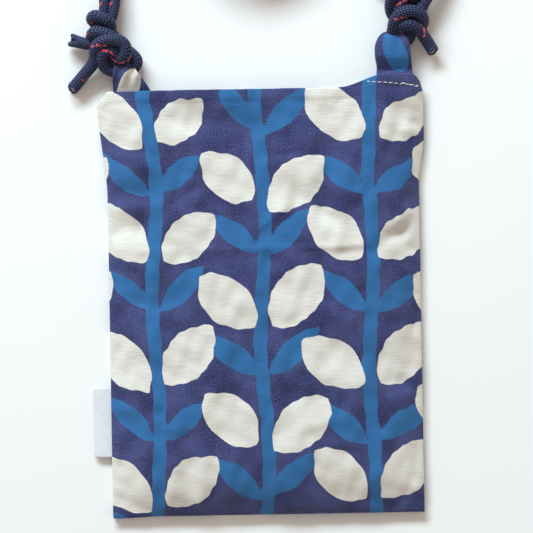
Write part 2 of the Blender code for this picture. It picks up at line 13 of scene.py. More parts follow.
import bpy
import numpy as np
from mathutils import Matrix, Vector


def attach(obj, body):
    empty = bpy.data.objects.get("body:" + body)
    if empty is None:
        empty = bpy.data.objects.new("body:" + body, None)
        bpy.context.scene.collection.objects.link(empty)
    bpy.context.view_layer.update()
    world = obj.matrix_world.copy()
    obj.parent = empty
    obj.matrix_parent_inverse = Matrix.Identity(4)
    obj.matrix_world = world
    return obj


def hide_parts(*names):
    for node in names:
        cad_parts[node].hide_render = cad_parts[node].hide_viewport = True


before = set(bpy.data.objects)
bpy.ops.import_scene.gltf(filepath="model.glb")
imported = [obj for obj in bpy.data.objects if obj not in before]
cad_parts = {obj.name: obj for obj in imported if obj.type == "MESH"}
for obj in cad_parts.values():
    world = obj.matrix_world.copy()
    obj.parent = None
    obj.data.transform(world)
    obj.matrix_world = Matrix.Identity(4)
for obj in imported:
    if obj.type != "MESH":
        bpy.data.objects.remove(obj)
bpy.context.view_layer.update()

LOG = logging.getLogger("pouch")
MM = 0.001
TINY = 1e-12
BODY = "root"

Point = tuple[float, float, float]
Route = Sequence[Point]

# The photograph's frame: its middle and width on the pouch, and the slight turn of the pouch
VIEW_CENTRE = (3.98 * MM, 4.49 * MM)
VIEW_WIDTH = 266.5 * MM
VIEW_PLANE = 6.0 * MM
VIEW_DISTANCE = 950.0 * MM
VIEW_TURN = math.radians(-1.0)
SENSOR = 36.0

ROPE_DIAMETER = 5.5 * MM

# Rope routes in millimetres, listed along each rope, tail ends last
LEFT_KNOT_ROPE_A: Route = (
    (-74.6, 142.1, 7.0), (-75.0, 133.2, 7.2), (-77.0, 128.2, 7.2), (-76.8, 122.2, 7.0),
    (-72.8, 117.4, 6.2), (-68.9, 114.8, 6.2), (-67.2, 113.4, 7.6), (-68.6, 113.2, 9.4),
    (-71.6, 113.6, 10.2), (-74.6, 112.6, 10.0), (-76.2, 110.2, 9.0), (-75.9, 107.2, 7.2),
    (-74.2, 104.9, 5.5), (-71.4, 103.7, 4.7), (-67.1, 103.4, 4.4), (-62.8, 104.0, 4.4),
    (-60.0, 106.0, 4.6), (-59.2, 108.8, 4.6), (-61.6, 112.0, 3.9), (-65.4, 114.6, 3.2),
    (-71.8, 116.0, 3.0), (-77.6, 117.4, 3.2), (-80.6, 119.3, 4.8), (-81.2, 121.3, 7.6),
    (-79.6, 122.6, 10.2), (-76.4, 122.3, 11.3), (-72.6, 121.0, 11.2), (-70.2, 119.6, 9.4),
    (-69.8, 119.8, 7.0), (-71.4, 122.2, 4.4), (-74.6, 125.2, 3.1), (-78.2, 127.3, 3.2),
    (-80.5, 128.6, 4.8), (-81.0, 129.7, 7.5), (-79.6, 130.6, 10.2), (-76.8, 130.2, 11.3),
    (-73.4, 128.3, 11.1), (-71.8, 126.6, 9.4), (-72.0, 124.4, 7.2), (-74.2, 121.0, 6.4),
    (-77.6, 118.0, 5.8), (-82.2, 117.2, 5.5), (-87.0, 118.1, 5.1), (-91.7, 119.5, 4.8),
)
LEFT_KNOT_ROPE_B: Route = (
    (-69.0, 142.1, 6.8), (-70.2, 133.1, 7.0), (-72.0, 128.1, 7.0), (-72.4, 122.1, 6.8),
    (-72.8, 116.6, 6.2), (-72.6, 112.2, 5.2), (-71.2, 110.4, 5.4), (-68.9, 109.8, 6.8),
    (-66.6, 109.7, 8.8), (-64.7, 110.7, 10.6), (-63.9, 113.2, 11.6), (-64.8, 116.1, 12.2),
    (-67.4, 117.9, 12.8), (-71.3, 118.4, 13.0), (-75.0, 117.8, 12.8), (-77.9, 116.3, 11.6),
    (-79.5, 113.7, 9.6), (-79.9, 110.6, 7.6), (-81.3, 107.0, 6.2), (-84.6, 103.1, 5.2),
    (-88.0, 99.3, 4.4), (-91.4, 95.5, 3.9),
)
RIGHT_KNOT_ROPE_A: Route = (
    (92.2, 146.6, 7.6), (88.4, 139.8, 8.0), (84.4, 133.4, 7.8), (80.2, 127.6, 6.8),
    (78.3, 123.0, 5.6), (78.0, 119.6, 4.6), (76.4, 116.8, 4.55), (72.9, 116.1, 4.55),
    (69.8, 117.2, 4.6), (69.0, 119.8, 5.4), (69.3, 122.4, 7.4), (69.9, 125.3, 9.8),
    (72.1, 128.5, 11.6), (75.9, 130.1, 12.4), (80.0, 129.9, 12.2), (83.2, 128.1, 10.8),
    (84.2, 125.4, 8.2), (83.4, 123.8, 5.2), (80.0, 124.0, 3.4), (75.3, 125.0, 3.1),
    (71.2, 127.3, 3.6), (68.6, 130.8, 5.6), (68.2, 134.6, 8.6), (69.6, 138.7, 11.2),
    (72.9, 142.0, 12.4), (77.9, 143.2, 12.2), (82.4, 142.2, 10.4), (84.2, 139.8, 7.4),
    (82.4, 137.3, 4.4), (78.1, 136.4, 3.1), (72.1, 139.6, 3.1), (66.2, 144.2, 3.2),
    (60.8, 148.2, 3.4),
)
RIGHT_KNOT_ROPE_B: Route = (
    (85.3, 150.8, 7.2), (80.0, 142.8, 7.6), (74.6, 136.8, 8.6), (72.2, 132.0, 8.0),
    (71.2, 128.0, 6.6), (71.0, 124.8, 7.2), (73.2, 123.6, 9.0), (77.1, 123.9, 10.4),
    (80.6, 122.3, 9.6), (83.7, 119.3, 7.4), (86.5, 115.4, 5.4), (89.1, 111.3, 4.4),
)
ROPE_A_LEFT_RUN: Route = (
    (-74.6, 141.6, 7.0), (-74.4, 151.0, 6.2), (-71.5, 160.0, 4.2), (-65.0, 167.5, 3.0),
    (-56.5, 172.3, 2.75), (-48.0, 175.6, 2.75), (-41.8, 181.4, 2.75), (-37.8, 189.4, 2.75),
)
ROPE_B_LEFT_RUN: Route = (
    (-69.0, 141.6, 6.8), (-68.6, 150.5, 5.6), (-64.5, 157.8, 3.8), (-57.5, 163.0, 3.2),
    (-50.5, 167.2, 4.8), (-45.6, 173.0, 8.6), (-41.6, 180.8, 12.6), (-37.8, 189.4, 14.05),
)
ROPE_A_RIGHT_RUN: Route = (
    (41.8, 189.4, 8.25), (45.2, 181.6, 6.8), (48.6, 174.2, 4.6), (54.6, 168.4, 3.2),
    (63.4, 166.2, 2.75), (73.5, 168.0, 2.75), (83.5, 171.5, 2.75), (92.5, 171.0, 3.0),
    (98.8, 165.5, 4.0), (98.2, 156.5, 5.8), (92.0, 146.1, 7.6),
)
ROPE_B_RIGHT_RUN: Route = (
    (41.8, 189.4, 19.5), (44.2, 180.6, 17.4), (46.4, 172.2, 12.6), (50.0, 165.0, 8.4),
    (57.2, 160.2, 5.0), (66.0, 159.0, 3.2), (76.0, 161.8, 2.8), (83.0, 164.0, 3.0),
    (88.0, 163.4, 3.8), (90.4, 160.0, 5.2), (88.9, 155.9, 6.3), (85.1, 150.3, 7.2),
)

# How many points at the start of a knot's route lie on the strap, under the first wrap
HIDDEN_POINTS = 2


def linear(hex_colour: str) -> tuple[float, float, float, float]:
    """Turn an sRGB hex colour into linear red, green, blue and alpha.

    Args:
        hex_colour: Six hex digits with a leading #.

    Returns:
        The colour as Blender's sockets hold it.
    """
    channels = [int(hex_colour[i:i + 2], 16) / 255.0 for i in (1, 3, 5)]
    low = 0.04045
    values = [c / 12.92 if c <= low else ((c + 0.055) / 1.055) ** 2.4 for c in channels]
    return (values[0], values[1], values[2], 1.0)


def add_node(
    tree: bpy.types.NodeTree, kind: str, inputs: dict[str | int, object] | None = None, **settings: object
) -> bpy.types.Node:
    """Add a node with its settings, its values and its links.

    Args:
        tree: The node tree that gets the node.
        kind: The node's type name.
        inputs: Values or sockets by input name or number; a socket is linked.
        **settings: Properties of the node, set before its inputs.

    Returns:
        The new node.
    """
    node = tree.nodes.new(kind)
    for key, value in settings.items():
        setattr(node, key, value)
    for key, value in (inputs or {}).items():
        if isinstance(value, bpy.types.NodeSocket):
            tree.links.new(value, node.inputs[key])
        else:
            node.inputs[key].default_value = value
    return node


def smooth(value: np.ndarray | float) -> np.ndarray:
    """Ease from 0 to 1 with flat ends."""
    t = np.clip(value, 0.0, 1.0)
    return t * t * (3.0 - 2.0 * t)


def smooth_route(points: Route | np.ndarray, spacing: float) -> np.ndarray:
    """Evenly spaced points on a smooth curve through the given ones.

    Args:
        points: The route's own points.
        spacing: The distance between the new points, in the same unit.

    Returns:
        The new points, one row each.
    """
    known = np.array(points, dtype=float)
    known = np.vstack([2 * known[0] - known[1], known, 2 * known[-1] - known[-2]])
    dense = []
    for index in range(1, len(known) - 2):
        before, start, end, after = known[index - 1:index + 3]
        t = np.linspace(0.0, 1.0, 16, endpoint=False)[:, None]
        dense.append(0.5 * (
            2 * start + (end - before) * t
            + (2 * before - 5 * start + 4 * end - after) * t**2
            + (3 * start - before - 3 * end + after) * t**3
        ))
    line = np.vstack([*dense, known[-2]])
    travelled = np.concatenate([[0.0], np.cumsum(np.linalg.norm(np.diff(line, axis=0), axis=1))])
    count = max(2, int(round(travelled[-1] / spacing)) + 1)
    stops = np.linspace(0.0, travelled[-1], count)
    return np.stack([np.interp(stops, travelled, line[:, axis]) for axis in range(3)], axis=1)


def grid_faces(rows: int, columns: int, flip: bool = False) -> list[tuple[int, ...]]:
    """The quads of a grid of points kept row by row.

    Args:
        rows: Number of rows of points.
        columns: Number of points in a row.
        flip: Whether the faces look the other way.

    Returns:
        The corner numbers of each quad.
    """
    faces = []
    for row in range(rows - 1):
        for column in range(columns - 1):
            a = row * columns + column
            quad = (a, a + 1, a + columns + 1, a + columns)
            faces.append(quad[::-1] if flip else quad)
    return faces


def band_faces(rings: int, around: int, flip: bool = False) -> list[tuple[int, ...]]:
    """The quads of closed rings of points kept ring by ring, then a face over each end.

    Args:
        rings: Number of rings.
        around: Number of points in a ring.
        flip: Whether the faces look the other way.

    Returns:
        The corner numbers of each face.
    """
    faces = []
    for low in range(0, (rings - 1) * around, around):
        high = low + around
        for column in range(around):
            after = (column + 1) % around
            faces.append((low + column, low + after, high + after, high + column))
    faces.append(tuple(range(around))[::-1])
    faces.append(tuple(range((rings - 1) * around, rings * around)))
    return [face[::-1] for face in faces] if flip else faces


def new_piece(
    name: str,
    points: np.ndarray,
    faces: Sequence[tuple[int, ...]],
    materials: Sequence[bpy.types.Material],
    flat: np.ndarray | None = None,
    values: dict[str, np.ndarray] | None = None,
) -> bpy.types.Object:
    """Make a smooth shaded mesh object whose place is in its mesh.

    Args:
        name: The piece's name.
        points: One row for each vertex.
        faces: The vertex numbers of each face.
        materials: The piece's materials, the first one used.
        flat: The place of each vertex or face corner on the flat cloth, kept as the UV map "flat".
        values: Numbers for each vertex, kept as attributes by name.

    Returns:
        The new object.
    """
    mesh = bpy.data.meshes.new(name)
    mesh.from_pydata(points.tolist(), [], faces)
    for material in materials:
        mesh.materials.append(material)
    if flat is not None:
        if len(flat) == len(points):
            corners = np.zeros(len(mesh.loops), dtype=np.int32)
            mesh.loops.foreach_get("vertex_index", corners)
            flat = flat[corners]
        mesh.uv_layers.new(name="flat").data.foreach_set("uv", flat.ravel())
    for key, numbers in (values or {}).items():
        attribute = mesh.attributes.new(key, "FLOAT", "POINT")
        attribute.data.foreach_set("value", np.asarray(numbers, dtype=np.float32).ravel())
    mesh.shade_smooth()
    obj = bpy.data.objects.new(name, mesh)
    bpy.context.scene.collection.objects.link(obj)
    return obj


def thicken(obj: bpy.types.Object, thickness: float) -> None:
    """Give a sheet its cloth thickness, half to each side, with its wrong side inside.

    Args:
        obj: The sheet; a second material, if it has one, is for its wrong side.
        thickness: The cloth's thickness, in metres.
    """
    solidify = obj.modifiers.new("cloth", "SOLIDIFY")
    solidify.thickness = thickness
    solidify.offset = 0.0
    solidify.use_quality_normals = True
    if len(obj.data.materials) > 1:
        solidify.material_offset = 1
        solidify.material_offset_rim = 1


def settle(obj: bpy.types.Object, slot: str, *nodes: str) -> bpy.types.Object:
    """Let a finished piece ride on the body and stand for its CAD nodes.

    Args:
        obj: The piece.
        slot: The record's material slot for its finish, which is only written to the log.
        *nodes: The CAD nodes that it stands for.

    Returns:
        The same piece.
    """
    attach(obj, BODY)
    if nodes:
        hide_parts(*nodes)
    heights = [corner[2] / MM for corner in obj.bound_box]
    LOG.info(
        "%s: %d faces, slot %s, %.2f to %.2f mm high",
        obj.name, len(obj.data.polygons), slot, min(heights), max(heights),
    )
    return obj


def principled(name: str) -> tuple[bpy.types.Material, bpy.types.NodeTree, bpy.types.Node]:
    """Start a material: its tree holds the one shader and the output.

    Args:
        name: The material's name.

    Returns:
        The material, its node tree and its shader.
    """
    material = bpy.data.materials.new(name)
    material.use_nodes = True
    tree = material.node_tree
    return material, tree, tree.nodes["Principled BSDF"]


def plain_weave(
    tree: bpy.types.NodeTree, flat: bpy.types.NodeSocket, pitch: float
) -> bpy.types.NodeSocket:
    """The height of a plain weave, whose two sets of threads cross over and under.

    Args:
        tree: The material's node tree.
        flat: Places on the flat cloth, in metres.
        pitch: Distance over which a thread goes over and under once, in metres.

    Returns:
        A socket with the height, from -1 to 1.
    """
    place = add_node(tree, "ShaderNodeSeparateXYZ", {0: flat})
    threads = []
    for axis in ("X", "Y"):
        turn = add_node(
            tree, "ShaderNodeMath", {0: place.outputs[axis], 1: 2 * math.pi / pitch},
            operation="MULTIPLY",
        ).outputs[0]
        threads.append(add_node(tree, "ShaderNodeMath", {0: turn}, operation="SINE").outputs[0])
    return add_node(
        tree, "ShaderNodeMath", {0: threads[0], 1: threads[1]}, operation="MULTIPLY"
    ).outputs[0]


class Ink(Enum):
    """The inks printed on the navy ground, by the attribute that holds their shapes."""

    CREAM = "cream"
    BLUE = "blue"


@dataclass(frozen=True)
class PrintedCanvas:
    """Cotton and linen canvas, plain woven and screen printed, washed once and pressed.

    The weave gives it a fine grain with thicker slub threads across it. The inks sit in the
    yarn, so the cloth stays matt, and pale fibres show through the dark ground.
    """

    # Real canvas threads lie about 0.4 mm apart, which is less than a pixel of the render, so
    # the weave and its slubs are drawn about twice as coarse to show

    cream: str = "#DFDED6"
    blue: str = "#2F6BA3"
    navy: str = "#3E4577"
    deep_navy: str = "#2B3060"
    fibre: str = "#8C90B4"
    wrong_side: str = "#A9AAB2"
    roughness: float = 0.88
    sheen: float = 0.18
    specular: float = 0.25
    thread_pitch: float = 1.5 * MM
    slub_length: float = 8.0 * MM
    slub_width: float = 0.65 * MM
    grain: float = 0.6 * MM
    depth: float = 0.16 * MM
    weave_relief: float = 0.4
    grain_relief: float = 0.7
    ink_bleed: float = 0.5 * MM
    fleck_range: tuple[float, float] = (0.52, 0.74)
    fleck_share: float = 0.3
    mottle: float = 16.0 * MM
    mottle_range: tuple[float, float] = (0.34, 0.64)
    ink_weave: float = 0.24
    cream_weave: float = 0.06
    slub_tone: float = 0.34
    thin_thread_tone: float = 0.83

    def material(self, name: str, wrong_side: float = 0.0) -> bpy.types.Material:
        """Build the cloth's material.

        Args:
            name: The material's name.
            wrong_side: How far the colours fade to the unprinted side, from 0 to 1.

        Returns:
            The material, which reads the UV map "flat" and the attributes "cream" and "blue".
        """
        material, tree, shader = principled(name)
        flat = add_node(tree, "ShaderNodeUVMap", uv_map="flat").outputs["UV"]
        weave = plain_weave(tree, flat, self.thread_pitch)
        stretch = add_node(
            tree, "ShaderNodeVectorMath",
            {0: flat, 1: (1 / self.slub_length, 1 / self.slub_width, 1.0)}, operation="MULTIPLY",
        )
        slub = add_node(
            tree, "ShaderNodeTexNoise", {"Vector": stretch.outputs[0], "Scale": 1.0, "Detail": 2.0},
            noise_dimensions="2D",
        ).outputs["Fac"]
        grain = add_node(
            tree, "ShaderNodeTexNoise", {"Vector": flat, "Scale": 1 / self.grain, "Detail": 1.0},
            noise_dimensions="2D",
        ).outputs["Fac"]
        bleed = add_node(
            tree, "ShaderNodeMath", {0: grain, 1: self.ink_bleed, 2: -self.ink_bleed / 2},
            operation="MULTIPLY_ADD",
        ).outputs[0]
        inks = {}
        for ink in Ink:
            distance = add_node(tree, "ShaderNodeAttribute", attribute_name=ink.value).outputs["Fac"]
            edge = add_node(tree, "ShaderNodeMath", {0: distance, 1: bleed}, operation="ADD").outputs[0]
            inks[ink] = add_node(
                tree, "ShaderNodeMath", {0: edge, 1: 0.0}, operation="LESS_THAN"
            ).outputs[0]
        fleck = add_node(
            tree, "ShaderNodeMapRange",
            {
                "Value": grain, "From Min": self.fleck_range[0], "From Max": self.fleck_range[1],
                "To Min": 0.0, "To Max": self.fleck_share,
            },
        ).outputs[0]
        cloud = add_node(
            tree, "ShaderNodeTexNoise", {"Vector": flat, "Scale": 1 / self.mottle, "Detail": 2.0},
            noise_dimensions="2D",
        ).outputs["Fac"]
        worn = add_node(
            tree, "ShaderNodeMapRange",
            {"Value": cloud, "From Min": self.mottle_range[0], "From Max": self.mottle_range[1]},
        ).outputs[0]
        dyed = add_node(
            tree, "ShaderNodeMix", {0: worn, 6: linear(self.deep_navy), 7: linear(self.navy)},
            data_type="RGBA",
        ).outputs[2]
        ground = add_node(
            tree, "ShaderNodeMix", {0: fleck, 6: dyed, 7: linear(self.fibre)}, data_type="RGBA",
        ).outputs[2]
        leaf = add_node(
            tree, "ShaderNodeMix", {0: inks[Ink.BLUE], 6: ground, 7: linear(self.blue)}, data_type="RGBA",
        ).outputs[2]
        printed = add_node(
            tree, "ShaderNodeMix", {0: inks[Ink.CREAM], 6: leaf, 7: linear(self.cream)}, data_type="RGBA",
        ).outputs[2]
        faded = add_node(
            tree, "ShaderNodeMix", {0: wrong_side, 6: printed, 7: linear(self.wrong_side)},
            data_type="RGBA",
        ).outputs[2]
        shade = add_node(
            tree, "ShaderNodeMath", {0: slub, 1: self.slub_tone, 2: self.thin_thread_tone},
            operation="MULTIPLY_ADD",
        ).outputs[0]
        contrast = add_node(
            tree, "ShaderNodeMath",
            {0: inks[Ink.CREAM], 1: self.cream_weave - self.ink_weave, 2: self.ink_weave},
            operation="MULTIPLY_ADD",
        ).outputs[0]
        tone = add_node(
            tree, "ShaderNodeMath", {0: weave, 1: contrast, 2: shade}, operation="MULTIPLY_ADD"
        ).outputs[0]
        toned = add_node(
            tree, "ShaderNodeMix", {0: 1.0, 6: faded, 7: tone}, data_type="RGBA", blend_type="MULTIPLY",
        ).outputs[2]
        tree.links.new(toned, shader.inputs["Base Color"])
        height = add_node(
            tree, "ShaderNodeMath", {0: weave, 1: self.weave_relief, 2: slub},
            operation="MULTIPLY_ADD",
        ).outputs[0]
        rough_height = add_node(
            tree, "ShaderNodeMath", {0: grain, 1: self.grain_relief, 2: height},
            operation="MULTIPLY_ADD",
        ).outputs[0]
        bump = add_node(
            tree, "ShaderNodeBump", {"Strength": 1.0, "Distance": self.depth, "Height": rough_height}
        )
        tree.links.new(bump.outputs[0], shader.inputs["Normal"])
        shader.inputs["Roughness"].default_value = self.roughness
        shader.inputs["Sheen Weight"].default_value = self.sheen
        shader.inputs["Specular IOR Level"].default_value = self.specular
        return material


@dataclass(frozen=True)
class PlainWeave:
    """A plain woven cloth in one colour, such as undyed lining cotton or white label tape.

    Lining cotton is soft and matt. Label tape is woven tighter from a bright yarn, so it is
    cooler, smoother and slightly satin.
    """

    colour: str
    shade: str
    roughness: float
    pitch: float
    depth: float
    sheen: float = 0.1
    specular: float = 0.3
    cloud_scale: float = 0.12
    weave_tone: float = 0.25

    def material(self, name: str) -> bpy.types.Material:
        """Build the cloth's material, which reads the UV map "flat".

        Args:
            name: The material's name.

        Returns:
            The material.
        """
        material, tree, shader = principled(name)
        flat = add_node(tree, "ShaderNodeUVMap", uv_map="flat").outputs["UV"]
        weave = plain_weave(tree, flat, self.pitch)
        cloud = add_node(
            tree, "ShaderNodeTexNoise",
            {"Vector": flat, "Scale": self.cloud_scale / self.pitch, "Detail": 3.0},
            noise_dimensions="2D",
        ).outputs["Fac"]
        mix = add_node(
            tree, "ShaderNodeMath", {0: weave, 1: self.weave_tone, 2: cloud}, operation="MULTIPLY_ADD"
        ).outputs[0]
        colour = add_node(
            tree, "ShaderNodeMix", {0: mix, 6: linear(self.shade), 7: linear(self.colour)}, data_type="RGBA",
        ).outputs[2]
        tree.links.new(colour, shader.inputs["Base Color"])
        bump = add_node(
            tree, "ShaderNodeBump", {"Strength": 1.0, "Distance": self.depth, "Height": weave}
        )
        tree.links.new(bump.outputs[0], shader.inputs["Normal"])
        shader.inputs["Roughness"].default_value = self.roughness
        shader.inputs["Sheen Weight"].default_value = self.sheen
        shader.inputs["Specular IOR Level"].default_value = self.specular
        return material


@dataclass(frozen=True)
class BraidedRope:
    """Polyester accessory cord, a 16-carrier braid over a soft core, with tracer yarn.

    The yarns cross in columns along the rope, so it looks knitted: each yarn's crown carries a
    small painted highlight and the gaps between columns are painted dark as shade. A coral
    tracer winds round the rope and comes to the surface in bouts of a few short dashes, then
    goes under again.
    """

    # Real rows of this braid are nearer 1 mm, so they are drawn a third coarser to show
    yarn: str = "#091130"
    # The gap colour is painted shade in the grooves between yarns
    gap: str = "#01020A"
    # The lit colour is a painted highlight on each yarn's crown
    lit: str = "#7384BC"
    tracer: str = "#F2616A"
    core: str = "#C9CCD2"
    roughness: float = 0.62
    sheen: float = 0.04
    specular: float = 0.22
    columns: int = 16
    row_pitch: float = 1.35 * MM
    slant: float = 0.9
    relief: float = 0.17 * MM
    relief_strength: float = 0.8
    yarn_dip: float = 0.4
    crown_power: int = 4
    glint_power: float = 6.0
    glint: float = 0.6
    tracer_turn: float = 24.0 * MM
    tracer_width: float = 0.62
    tracer_dash: float = 0.52
    tracer_bout: float = 19.0 * MM
    tracer_share: float = 0.6

    def height(self, turn: np.ndarray, along: np.ndarray) -> np.ndarray:
        """The braid's relief on the rope's surface.

        Args:
            turn: Place round the rope, from 0 to 1.
            along: Place along the rope, in metres.

        Returns:
            The height over the groove between yarns, from 0 to 1.
        """
        column = turn * self.columns
        across = column - np.floor(column) - 0.5
        side = 1.0 - 2.0 * np.mod(np.floor(column), 2.0)
        row = along / self.row_pitch - side * across * self.slant
        yarn = np.abs(np.sin(math.pi * row))
        ridge = self.yarn_dip + (1.0 - self.yarn_dip) * yarn
        return ridge * (1.0 - (2.0 * across) ** self.crown_power)

    def material(self, name: str) -> bpy.types.Material:
        """Build the rope's material.

        Args:
            name: The material's name.

        Returns:
            The material, which reads the UV map "flat" as turn and length, and the attribute "core".
        """
        material, tree, shader = principled(name)
        flat = add_node(tree, "ShaderNodeUVMap", uv_map="flat").outputs["UV"]
        place = add_node(tree, "ShaderNodeSeparateXYZ", {0: flat})
        values: dict[str, bpy.types.NodeSocket] = {
            "turn": place.outputs["X"], "along": place.outputs["Y"],
        }
        # Each row names a result, then the operation and its terms; a name stands for a result
        steps = (
            ("column", "MULTIPLY", "turn", float(self.columns)),
            ("part", "FRACT", "column"),
            ("across", "SUBTRACT", "part", 0.5),
            ("number", "FLOOR", "column"),
            ("parity", "MODULO", "number", 2.0),
            ("side", "MULTIPLY_ADD", "parity", -2.0, 1.0),
            ("tilt", "MULTIPLY", "side", "across"),
            ("lean", "MULTIPLY", "tilt", self.slant),
            ("place", "DIVIDE", "along", self.row_pitch),
            ("row", "SUBTRACT", "place", "lean"),
            ("swing", "MULTIPLY", "row", math.pi),
            ("wave", "SINE", "swing"),
            ("yarn", "ABSOLUTE", "wave"),
            ("ridge", "MULTIPLY_ADD", "yarn", 1.0 - self.yarn_dip, self.yarn_dip),
            ("double", "MULTIPLY", "across", 2.0),
            ("away", "ABSOLUTE", "double"),
            ("fall", "POWER", "away", float(self.crown_power)),
            ("crown", "SUBTRACT", 1.0, "fall"),
            ("height", "MULTIPLY", "ridge", "crown"),
            ("pair", "MULTIPLY", "row", 0.5),
            ("beat", "FRACT", "pair"),
            ("dash", "LESS_THAN", "beat", self.tracer_dash),
            ("drift", "MULTIPLY", "along", -1.0 / self.tracer_turn),
            ("helix", "ADD", "turn", "drift"),
            ("phase", "FRACT", "helix"),
            ("off", "SUBTRACT", "phase", 0.5),
            ("apart", "ABSOLUTE", "off"),
            ("on_tracer", "LESS_THAN", "apart", self.tracer_width / self.columns),
            ("bout", "DIVIDE", "along", self.tracer_bout),
            ("bout_part", "FRACT", "bout"),
            ("shows", "LESS_THAN", "bout_part", self.tracer_share),
            ("dashed", "MULTIPLY", "on_tracer", "dash"),
            ("tracer", "MULTIPLY", "dashed", "shows"),
            ("bright", "POWER", "height", self.glint_power),
            ("glint", "MULTIPLY", "bright", self.glint),
        )
        for result, operation, *terms in steps:
            given = {
                number: values[term] if isinstance(term, str) else term
                for number, term in enumerate(terms)
            }
            values[result] = add_node(tree, "ShaderNodeMath", given, operation=operation).outputs[0]
        # Low parts of the braid, down to its grooves, get painted shade in the gap colour
        base = add_node(
            tree, "ShaderNodeMix", {0: values["height"], 6: linear(self.gap), 7: linear(self.yarn)},
            data_type="RGBA",
        ).outputs[2]
        # The yarn crowns get a painted highlight in the lit colour
        lit = add_node(
            tree, "ShaderNodeMix", {0: values["glint"], 6: base, 7: linear(self.lit)},
            data_type="RGBA",
        ).outputs[2]
        marked = add_node(
            tree, "ShaderNodeMix", {0: values["tracer"], 6: lit, 7: linear(self.tracer)},
            data_type="RGBA",
        ).outputs[2]
        inner = add_node(tree, "ShaderNodeAttribute", attribute_name="core").outputs["Fac"]
        cored = add_node(
            tree, "ShaderNodeMix", {0: inner, 6: marked, 7: linear(self.core)}, data_type="RGBA",
        ).outputs[2]
        tree.links.new(cored, shader.inputs["Base Color"])
        bump = add_node(
            tree, "ShaderNodeBump",
            {"Strength": self.relief_strength, "Distance": self.relief, "Height": values["height"]},
        )
        tree.links.new(bump.outputs[0], shader.inputs["Normal"])
        shader.inputs["Roughness"].default_value = self.roughness
        shader.inputs["Sheen Weight"].default_value = self.sheen
        shader.inputs["Specular IOR Level"].default_value = self.specular
        return material


@dataclass(frozen=True)
class SewingThread:
    """Off-white polyester sewing thread: two plies twisted, slightly shiny.

    Each stitch catches a small light along its arch, so the row shows as bright dashes.
    """

    colour: str = "#EDEAE0"
    roughness: float = 0.5
    twist: float = 0.45 * MM
    relief: float = 0.05 * MM
    relief_strength: float = 0.5
    wave_turn: float = 0.314

    def material(self, name: str) -> bpy.types.Material:
        """Build the thread's material, with its plies as a fine wave on Object coordinates.

        Args:
            name: The material's name.

        Returns:
            The material.
        """
        material, tree, shader = principled(name)
        place = add_node(tree, "ShaderNodeTexCoord").outputs["Object"]
        wave = add_node(
            tree, "ShaderNodeTexWave", {"Vector": place, "Scale": self.wave_turn / self.twist},
            bands_direction="DIAGONAL",
        ).outputs["Fac"]
        bump = add_node(
            tree, "ShaderNodeBump",
            {"Strength": self.relief_strength, "Distance": self.relief, "Height": wave},
        )
        tree.links.new(bump.outputs[0], shader.inputs["Normal"])
        shader.inputs["Base Color"].default_value = linear(self.colour)
        shader.inputs["Roughness"].default_value = self.roughness
        return material


class CreaseForm(Enum):
    """How a crease rises over the cloth beside it."""

    ROUND = "round"
    SHARP = "sharp"


@dataclass(frozen=True)
class Crease:
    """One crease in the front cloth: where it runs, how wide and how high, in millimetres."""

    start: tuple[float, float]
    end: tuple[float, float]
    half_width: float
    height: float
    form: CreaseForm = CreaseForm.ROUND
    fade: float = 1.6
    end_share: float = 0.35
    swell_power: float = 0.6

    def lift(self, x: np.ndarray, y: np.ndarray) -> np.ndarray:
        """How far the crease lifts the cloth.

        Args:
            x: Places across, in millimetres.
            y: Places up, in millimetres.

        Returns:
            The lift at each place, in millimetres.
        """
        a, b = np.array(self.start), np.array(self.end)
        run = b - a
        length = float(np.hypot(*run))
        along = ((x - a[0]) * run[0] + (y - a[1]) * run[1]) / length
        away = np.abs((x - a[0]) * run[1] - (y - a[1]) * run[0]) / length
        past = np.maximum(np.maximum(-along, along - length), 0.0)
        ends = np.exp(-((past / (self.fade * self.half_width)) ** 2))
        swell = np.sin(np.pi * np.clip(along / length, 0.0, 1.0)) ** self.swell_power
        taper = self.end_share + (1.0 - self.end_share) * swell
        if self.form is CreaseForm.SHARP:
            profile = np.exp(-away / self.half_width)
        else:
            profile = np.exp(-((away / self.half_width) ** 2))
        return self.height * profile * ends * taper


